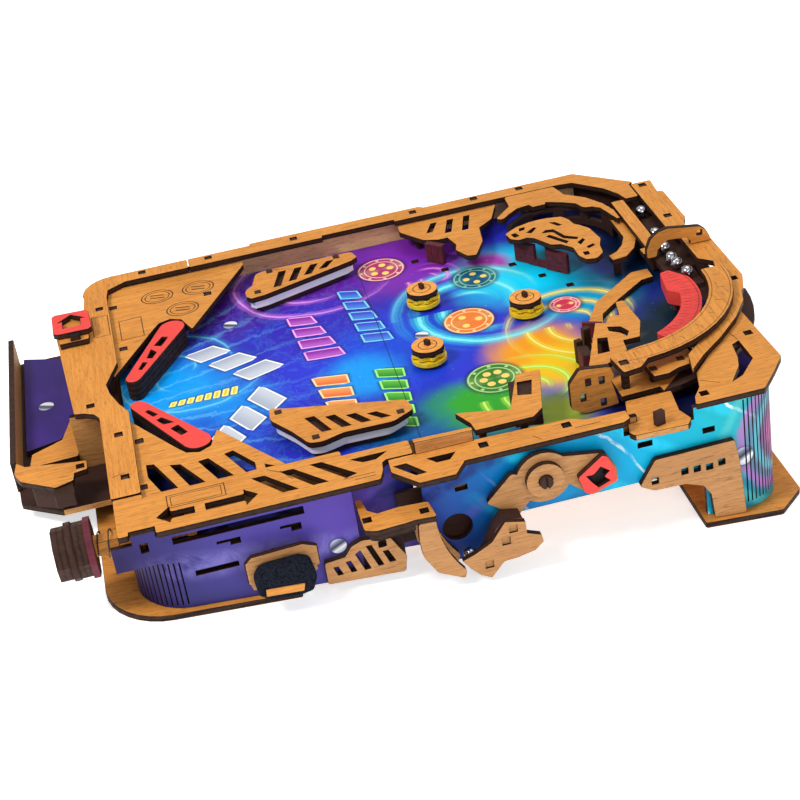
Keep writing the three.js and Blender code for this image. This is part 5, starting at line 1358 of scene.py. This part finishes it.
# Like the bracket, but with maroon posts under its front.
def castleLook(normal, middle, axis, low):
    choice = ornateLook(normal, middle, axis, low)
    return "maroon" if choice == "darkWoodAndShade" and middle.y < maroonEnd else choice


trackSettings = {
    "darkHeights": (-5.6, -5.2),
    "darkAcross": 72,
    "lowLayer": -5,
    "lowEdge": -0.0079,
    "edge": -0.0026,
}


def trackLook(normal, middle, axis, low):
    settings = trackSettings
    if not isLevel(normal):
        return edgeMaterial(2, settings["lowEdge"] if middle.z < settings["lowLayer"] else settings["edge"])
    darkLow, darkHigh = settings["darkHeights"]
    if middle.z > 0 or darkLow < middle.z < darkHigh and middle.x < settings["darkAcross"]:
        return "darkWoodAndShade"
    return "wood"


def returnLook(normal, middle, axis, low):
    return "returnWood" if isLevel(normal) else edgeMaterial(2, low)


deflectorLevels = {"top": 0.5, "maroon": -5.3}


def deflectorLook(normal, middle, axis, low):
    if facesUp(normal) and middle.z > deflectorLevels["top"]:
        return "redArc"
    return "red" if middle.z > deflectorLevels["maroon"] else "maroon"


nearRailSettings = {"top": -0.2, "block": 0.1, "blockEdge": 0.0954, "edge": -0.0025}


def nearRailLook(normal, middle, axis, low):
    settings = nearRailSettings
    if isLevel(normal) and middle.z > settings["top"]:
        return "railWood"
    if middle.z > settings["block"]:
        return "wallWoodInShade" if facesSide(normal) else edgeMaterial(0, settings["blockEdge"])
    return edgeMaterial(2, settings["edge"])


# The back bends start at one place along, and the near front bend lies before another, outside and low.
wallBends = {"back": 240, "front": 22, "frontAcross": 80, "frontTop": -14, "turned": 0.93}


# Side walls: print outside, also round the bends, pale wood inside, and dark wood as painted shade inside the
# bends.
def wallLook(normal, middle, axis, low):
    bends = wallBends
    outward = normal[0] * (1 if middle.x > 0 else -1)
    upright = abs(normal[2]) < 0.5
    if middle.y > bends["back"] and upright:
        return "wallPrintAndShade" if outward + normal[1] > bends["turned"] else "darkWoodAndShade"
    inFront = middle.y < bends["front"] and middle.x > bends["frontAcross"] and middle.z < bends["frontTop"]
    if inFront and upright:
        return "wallPrintAndShade" if outward - normal[1] > bends["turned"] else "darkWoodAndShade"
    if facesSide(normal):
        return "wallPrintAndShade" if outward > 0 else "innerWood"
    return edgeMaterial(0, low)


archLevels = {"low": -6, "plate": -3, "edge": -0.0028}


# Painted shade: the arch wall's low ring is dark wood that stands for the shadow under the arch; its upright
# faces are dark too.
def archLook(normal, middle, axis, low):
    if not isLevel(normal) or middle.z <= archLevels["low"]:
        return "darkWoodAndShade"
    return "wood" if middle.z < archLevels["plate"] else edgeMaterial(2, archLevels["edge"])


buttonSettings = {"plateAcross": 111.2, "nearEdge": 0.1116, "farEdge": -0.1139}


def buttonLook(normal, middle, axis, low):
    settings = buttonSettings
    if abs(middle.x) < settings["plateAcross"]:
        return "darkWoodAndShade"
    if facesSide(normal):
        return "sideWoodInShade"
    return edgeMaterial(0, settings["nearEdge"] if middle.x > 0 else settings["farEdge"])


leverSettings = {"tabAlong": 171.5, "tabAcross": 111.55, "edge": 0.109}


def leverLook(normal, middle, axis, low):
    settings = leverSettings
    if not facesSide(normal):
        return edgeMaterial(0, settings["edge"])
    onTab = middle.y > settings["tabAlong"] and middle.x > settings["tabAcross"]
    return "red" if onTab else "leverWoodInShade"


liftSettings = {
    "outer": 118.2,
    "channel": (110, 118),
    "middle": 112,
    "outerEdge": 0.1183,
    "innerEdge": 0.1073,
}


def paddleLook(normal, middle, axis, low):
    if middle.x <= liftSettings["outer"]:
        return "darkWoodAndShade"
    return "sideWoodInShade" if facesSide(normal) else edgeMaterial(0, liftSettings["outerEdge"])


def chuteLook(normal, middle, axis, low):
    settings = liftSettings
    if facesSide(normal):
        return "sideWoodInShade"
    channelInner, channelOuter = settings["channel"]
    if channelInner < middle.x < channelOuter:
        return "darkWoodAndShade"
    return edgeMaterial(0, settings["innerEdge"] if middle.x < settings["middle"] else settings["outerEdge"])


shelfLevels = {"top": -12.3, "edge": -0.0145}


def shelfLook(normal, middle, axis, low):
    if isLevel(normal) and middle.z > shelfLevels["top"]:
        return "wood"
    return edgeMaterial(2, shelfLevels["edge"])


laneWallLevels = {"ledge": (-5.5, -5), "edge": -0.0077}


def laneWallLook(normal, middle, axis, low):
    ledgeLow, ledgeHigh = laneWallLevels["ledge"]
    if facesUp(normal) and ledgeLow < middle.z < ledgeHigh:
        return "wood"
    return "wallWoodInShade" if facesSide(normal) else edgeMaterial(2, laneWallLevels["edge"])


# Heights in millimetres, and where the front wall ends and the back wall starts along the case.
deckSettings = {
    "heights": (-28.5, -19),
    "deck": -21,
    "front": -30,
    "frontLow": -27,
    "back": -13,
    "edge": -0.0302,
}


def trayLook(normal, middle, axis, low):
    settings = deckSettings
    lowest, highest = settings["heights"]
    if facesUp(normal) and lowest < middle.z < highest:
        return "wood" if middle.z > settings["deck"] else "darkWoodAndShade"
    inFront = abs(normal[1]) > 0.8 and middle.y < settings["front"] and middle.z > settings["frontLow"]
    if inFront or middle.y > settings["back"] and facesSide(normal):
        return "wallWoodInShade"
    return edgeMaterial(2, settings["edge"])


ledgeLevels = {"top": -14.2, "under": -16.6, "edge": -0.0165}


def trayLedgeLook(normal, middle, axis, low):
    if isLevel(normal) and middle.z > ledgeLevels["top"]:
        return "wood"
    return edgeMaterial(2, ledgeLevels["edge"]) if middle.z > ledgeLevels["under"] else "darkWoodAndShade"


keyLevels = {"underTop": 3, "edge": 0.0003}


def keyStemLook(normal, middle, axis, low):
    if facesUp(normal) and middle.z < keyLevels["underTop"]:
        return "wood"
    return edgeMaterial(2, keyLevels["edge"])


collarStart = -11.4


def knobLook(normal, middle, axis, low):
    if abs(normal[1]) > facing:
        return "darkWoodAndShade"
    return "maroon" if middle.y > collarStart else edgeMaterial(1, low, "darkLight", "dark")


barEdge = -0.0115


def barLook(normal, middle, axis, low):
    return "wood" if isLevel(normal) or facesSide(normal) else edgeMaterial(2, barEdge)


looks = {
    "front_crossbar": plateLook("crossbarWood"),
    "launch_cover": plateLook("coverWood"),
    "near_rail": nearRailLook,
    "far_rail": plateLook("railWood"),
    "back_corner_rail": plateLook("railWood"),
    "back_rim": plateLook("woodAcross"),
    "channel_outer_rail": plateLook("woodAcross"),
    "channel_inner_rail": plateLook("woodAcross"),
    "far_apron": plateLook("apronWood"),
    "near_apron": plateLook(),
    "playfield": playfieldLook,
    "near_flipper": flipperLook,
    "far_flipper": flipperLook,
    "near_slingshot": slingshotLook,
    "far_slingshot": slingshotLook,
    "bumper_1": bumperLook,
    "bumper_2": bumperLook,
    "bumper_3": bumperLook,
    "return_arc": returnLook,
    "track_floor": trackLook,
    "red_deflector": deflectorLook,
    "castle_plate": castleLook,
    "single_target": plateLook("maroon", ("maroon", "maroonDeep")),
    "twin_target": plateLook("maroon", ("maroon", "maroonDeep")),
    "shield_plate": panelLook("wood"),
    "lane_side_plate": laneSideLook,
    "far_lane_plate": farLaneLook,
    "arch_plate": plateLook("railWood"),
    "arch_wall": archLook,
    "ornate_bracket": ornateLook,
    "gate_plate": panelLook("wood"),
    "near_front_panel": wallLook,
    "near_back_panel": wallLook,
    "recess_panel": wallLook,
    "far_side_panel": wallLook,
    "front_bulkhead": darkLook,
    "back_bulkhead": darkLook,
    "lane_inner_wall": plateLook("wallWoodInShade"),
    "lane_outer_wall": laneWallLook,
    "tray_deck": trayLook,
    "tray_floor": plateLook("trayPrint"),
    "tray_ledge": trayLedgeLook,
    "red_key": plateLook("red"),
    "key_slider": keyStemLook,
    "plunger_knob": knobLook,
    "plunger_bar": barLook,
    "near_button": buttonLook,
    "far_button": buttonLook,
    "decor_plate": panelLook("sideWoodInShade"),
    "lift_shelf": shelfLook,
    "lift_chute": chuteLook,
    "lever_arm": leverLook,
    "lever_axle": darkLook,
    "lift_paddle": paddleLook,
    "leg_bracket": panelLook("sideWoodInShade"),
    "front_foot_plate": plateLook(),
    "back_foot_plate": plateLook(),
}
roundedMore = {"near_slingshot": 0.0021, "far_slingshot": 0.0021, "red_key": 0.0014, "arch_plate": 0.0015}
cutPlaces = {"near_button": 0.11385, "far_button": -0.1136}
leftSharp = ("near_front_panel", "near_back_panel", "lever_axle", "arch_wall", "plunger_knob", "track_floor")


def dressAll():
    for node, look in looks.items():
        radius = None if node in leftSharp else roundedMore.get(node, bevelSettings["corner"])
        dress(node, look, radius, cutPlaces.get(node))


# Lengths in metres; each queued ball's place is across and along the case.
ballSettings = {
    "radius": 0.00275,
    "rings": 20,
    "segments": 32,
    "level": -0.00275,
    "places": [
        (-0.0358, 0.2555), (-0.0212, 0.2546), (-0.0109, 0.2542), (-0.0052, 0.2546), (0.0041, 0.256),
        (0.0612, 0.2418), (0.0655, 0.2361),
    ],
}


def steelBall(name, body, place, replaced=None):
    settings = ballSettings
    mesh = bpy.data.meshes.new(f"{name}Mesh")
    shape = bmesh.new()
    bmesh.ops.create_uvsphere(
        shape, u_segments=settings["segments"], v_segments=settings["rings"], radius=settings["radius"]
    )
    bmesh.ops.translate(shape, verts=shape.verts[:], vec=place)
    for face in shape.faces:
        face.smooth = True
    shape.to_mesh(mesh)
    shape.free()
    addMaterials(mesh, ["steel"])
    return placePiece(name, mesh, body, "steel", replaced)


def dressBalls():
    for node in ("channel_ball", "lift_ball"):
        low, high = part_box(node)
        steelBall(f"{node}_piece", bodyOf(node), (Vector(low) + Vector(high)) / 2, node)
    for index, (across, along) in enumerate(ballSettings["places"]):
        steelBall(f"queued_ball_{index + 1}", "case", toWorld((across, along, ballSettings["level"])))


def dressSpring():
    wire = frame["nodes"]["plunger_spring"]
    wire.data.materials.clear()
    wire.data.materials.append(materials["wire"])
    for polygon in wire.data.polygons:
        polygon.use_smooth = True


# Each post has its place across and along, its lowest and highest point, width, depth and turn, all in
# millimetres and degrees, and its finish and slot.
postSettings = {
    "soft": 0.00022,
    "segments": 2,
    "rows": [
        ("bumper_1_stub", -35.3, 147.0, -3.4, -0.9, 2.6, 1.7, 20, "darkWoodAndShade", "dark"),
        ("bumper_2_stub", 14.1, 138.2, -3.4, -0.9, 2.6, 1.7, 35, "darkWoodAndShade", "dark"),
        ("bumper_3_stub", -7.2, 186.6, -3.4, -0.9, 2.6, 1.7, 25, "darkWoodAndShade", "dark"),
        ("lane_post_tall", 38.2, 200.0, -11.8, 1.6, 2.5, 3.2, 12, "darkWoodAndShade", "dark"),
        ("lane_post_short", 41.8, 195.6, -11.8, -1.2, 2.5, 3.0, 12, "darkWoodAndShade", "dark"),
        ("lane_maroon_plate", 28.6, 205.6, -11.8, -2.2, 1.6, 8.4, -28, "maroon", "maroon"),
        ("channel_ramp", 2.0, 255.6, -8.3, -5.8, 18.0, 12.0, 0, "darkWoodAndShade", "dark"),
        ("track_end_post", 62.0, 221.0, -5.6, -0.6, 3.0, 3.0, 10, "darkWoodAndShade", "dark"),
        ("shelf_post", 108.5, 207.0, -5.4, 0.6, 2.5, 4.0, 15, "darkWoodAndShade", "dark"),
    ],
}


# A small upright post or block, square and soft-edged, set at an angle on the board.
def post(name, across, along, low, high, width, depth, turn, look, slotName):
    mesh = bpy.data.meshes.new(f"{name}Mesh")
    shape = bmesh.new()
    bmesh.ops.create_cube(shape, size=1.0)
    bmesh.ops.scale(shape, verts=shape.verts[:], vec=(width * mm, depth * mm, (high - low) * mm))
    bevelEdges(shape, shape.edges[:], postSettings["soft"], postSettings["segments"])
    bmesh.ops.rotate(shape, verts=shape.verts[:], matrix=Matrix.Rotation(math.radians(turn), 3, "Z"))
    bmesh.ops.translate(shape, verts=shape.verts[:], vec=Vector((across, along, (low + high) / 2)) * mm)
    for vertex in shape.verts:
        vertex.co = toWorld(vertex.co)
    shape.to_mesh(mesh)
    shape.free()
    addMaterials(mesh, [look])
    return placePiece(name, mesh, "case", slotName)


def dressPosts():
    for row in postSettings["rows"]:
        post(*row)


# In millimetres: outlines as places along and up, and the sides as their inner and outer place across.
padSettings = {
    "outline": [
        (46.0, -31.6), (45.2, -24.8), (47.4, -21.0), (51.0, -19.8), (63.4, -19.4), (67.2, -21.4),
        (68.6, -29.0), (66.4, -34.6), (61.0, -35.6), (50.0, -34.6),
    ],
    "sides": {"near": (113.8, 119.1), "far": (-113.5, -118.0)},
    "soft": 1.3,
    "segments": 4,
    "fill": 0.9,
    "strip": [(48.9, -28.8), (63.4, -30.0), (62.6, -33.0), (48.6, -31.8)],
    "stripThickness": 0.7,
    "stripSunk": 0.2,
    "stripSoft": 0.15,
}

# Dark sheets of painted shade behind the recess, the lift's round hole and the near side's slots, so that
# these show dark inside, each as its reach along, up and across in millimetres.
shadeSheetSettings = {
    "soft": 0.2,
    "segments": 2,
    "rows": [
        ("recess_shade_skirt", (82, 104), (-40.5, -29), (103.6, 105.4)),
        ("recess_end_shade_sheet", (104.5, 119), (-38, -15), (97, 98.5)),
        ("back_slot_shade_sheet", (168, 236), (-25, -15), (100.5, 102)),
        ("lift_hole_shade_sheet", (114, 142), (-41, -22), (100.5, 102)),
        ("front_slot_shade_sheet", (12, 42), (-36, -16), (100.5, 102)),
        ("top_slot_shade_sheet", (12, 84), (-19.8, -14.7), (100.5, 102)),
    ],
}


# A slab with its outline along and up the case, between two places across it, with rounded edges.
def sideSlab(name, outline, inner, outer, soft, segments):
    mesh = bpy.data.meshes.new(f"{name}Mesh")
    shape = bmesh.new()
    corners = [shape.verts.new(Vector((inner, along, up)) * mm) for along, up in outline]
    face = bmesh.ops.contextual_create(shape, geom=corners)["faces"][0]
    grown = bmesh.ops.extrude_face_region(shape, geom=[face])
    raised = [item for item in grown["geom"] if isinstance(item, bmesh.types.BMVert)]
    bmesh.ops.translate(shape, verts=raised, vec=((outer - inner) * mm, 0, 0))
    bmesh.ops.recalc_face_normals(shape, faces=shape.faces[:])
    bevelEdges(shape, shape.edges[:], soft * mm, segments)
    for vertex in shape.verts:
        vertex.co = toWorld(vertex.co)
    bmesh.ops.recalc_face_normals(shape, faces=shape.faces[:])
    for face in shape.faces:
        face.smooth = segments > 2
    shape.to_mesh(mesh)
    shape.free()
    return mesh


def dressPads():
    settings = padSettings
    for name, (inner, outer) in settings["sides"].items():
        side = math.copysign(1, outer)
        low, high = sorted((inner, outer))
        mesh = sideSlab(f"{name}_pad", settings["outline"], low, high, settings["soft"], settings["segments"])
        addMaterials(mesh, ["foam"])
        pad = placePiece(f"{name}_pad", mesh, f"{name}_button_body", "foam")
        sunk = outer - side * settings["stripSunk"]
        low, high = sorted((sunk, outer + side * (settings["stripThickness"] - settings["stripSunk"])))
        strip = sideSlab(f"{name}_strip", settings["strip"], low, high, settings["stripSoft"], 1)
        addMaterials(strip, ["wood"])
        placePiece(f"{name}_strip", strip, f"{name}_button_body", "wood")


# Sets the dark sheets of painted shade inside the case.
def dressShadeSheets():
    settings = shadeSheetSettings
    for name, (front, back), (low, high), (inner, outer) in settings["rows"]:
        outline = [(front, low), (back, low), (back, high), (front, high)]
        mesh = sideSlab(name, outline, inner, outer, settings["soft"], settings["segments"])
        addMaterials(mesh, ["darkWoodAndShade"])
        placePiece(name, mesh, "case", "dark")


dressAll()
dressBalls()
dressSpring()
dressPosts()
dressPads()
dressShadeSheets()
print("pieces dressed")

cameraSettings = {
    "place": (0.6636, -0.10842, 0.41468),
    "turnDegrees": (61.109, 3.583, 77.824),
    "lens": 81.9,
    "sensor": 36.0,
    "shiftUp": -0.075,
    "nearest": 0.01,
    "farthest": 50,
}


def makeCamera():
    settings = cameraSettings
    data = bpy.data.cameras.new("photoCamera")
    data.lens = settings["lens"]
    data.sensor_width = settings["sensor"]
    data.shift_y = settings["shiftUp"]
    data.clip_start = settings["nearest"]
    data.clip_end = settings["farthest"]
    rig = bpy.data.objects.new("photoCamera", data)
    rig.location = settings["place"]
    rig.rotation_euler = Euler([math.radians(turn) for turn in settings["turnDegrees"]], "XYZ")
    bpy.context.scene.collection.objects.link(rig)
    bpy.context.scene.camera = rig


lamps = [
    {
        "name": "keyLamp", "place": (0.3, -0.75, 0.95), "aim": (0.02, -0.05, 0.03),
        "size": 0.28, "power": 9.0, "tint": (1, 0.97, 0.93),
    },
    {
        "name": "sideLamp", "place": (1.05, 0.25, 0.5), "aim": (0.05, 0, 0.02),
        "size": 0.6, "power": 2.8, "tint": (0.92, 0.97, 1),
    },
    {
        "name": "topLamp", "place": (-0.25, 0.25, 1.1), "aim": (0, 0, 0.03),
        "size": 0.7, "power": 4.2, "tint": (1, 1, 1),
    },
]


def makeLamps():
    for settings in lamps:
        data = bpy.data.lights.new(settings["name"], "AREA")
        data.size = settings["size"]
        data.energy = settings["power"]
        data.color = settings["tint"]
        lamp = bpy.data.objects.new(settings["name"], data)
        lamp.location = settings["place"]
        aim = Vector(settings["aim"]) - Vector(settings["place"])
        lamp.rotation_euler = aim.to_track_quat("-Z", "Y").to_euler()
        bpy.context.scene.collection.objects.link(lamp)


worldSettings = {"tone": (1.0, 1.0, 1.0), "ambient": 0.36, "seen": 1.0, "mirroredShare": 0.4}


# The world lights the object at a plain level, and shows as white behind it and in metal and glass.
def makeWorld():
    settings = worldSettings
    world = bpy.data.worlds.new("paleWorld")
    world.use_nodes = True
    tree = world.node_tree
    background = next(node for node in tree.nodes if node.type == "BACKGROUND")
    seen = tree.nodes.new("ShaderNodeBackground")
    for node, strength in ((background, settings["ambient"]), (seen, settings["seen"])):
        node.inputs["Color"].default_value = opaque(settings["tone"])
        node.inputs["Strength"].default_value = strength
    path = tree.nodes.new("ShaderNodeLightPath")
    direct = Shade(tree, path.outputs["Is Camera Ray"]).most(Shade(tree, path.outputs["Is Transmission Ray"]))
    mirrored = Shade(tree, path.outputs["Is Glossy Ray"]) * settings["mirroredShare"]
    mix = tree.nodes.new("ShaderNodeMixShader")
    output = next(node for node in tree.nodes if node.type == "OUTPUT_WORLD")
    setInput(tree, mix, 0, direct.most(mirrored))
    setInput(tree, mix, 1, background.outputs[0])
    setInput(tree, mix, 2, seen.outputs[0])
    setInput(tree, output, "Surface", mix.outputs[0])
    bpy.context.scene.world = world


# Lengths in metres: half the floor's width, and how far it lies under the object.
floorSettings = {
    "half": 3.0,
    "drop": 0.0002,
    "gritScale": 60,
    "tones": ((0.93, 0.93, 0.93), (0.96, 0.96, 0.96)),
    "roughness": 0.9,
    "glow": 0.64,
}


def makeFloor():
    settings = floorSettings
    mesh = bpy.data.meshes.new("floorMesh")
    shape = bmesh.new()
    bmesh.ops.create_grid(shape, x_segments=1, y_segments=1, size=settings["half"])
    bmesh.ops.translate(shape, verts=shape.verts[:], vec=(0, 0, -settings["drop"]))
    shape.to_mesh(mesh)
    shape.free()
    material, tree, shader = newMaterial("paleFloor")
    coordinates = tree.nodes.new("ShaderNodeTexCoord")
    grit = noise(tree, coordinates.outputs["Object"], settings["gritScale"], 3)
    base = mixColour(tree, grit, *settings["tones"])
    setInput(tree, shader, "Base Color", base)
    setInput(tree, shader, "Emission Color", base)
    shader.inputs["Roughness"].default_value = settings["roughness"]
    shader.inputs["Emission Strength"].default_value = settings["glow"]
    mesh.materials.append(material)
    floor = bpy.data.objects.new("floor", mesh)
    bpy.context.scene.collection.objects.link(floor)


makeCamera()
makeLamps()
makeWorld()
makeFloor()
bpy.context.scene.view_settings.view_transform = "Standard"
print("stage made")
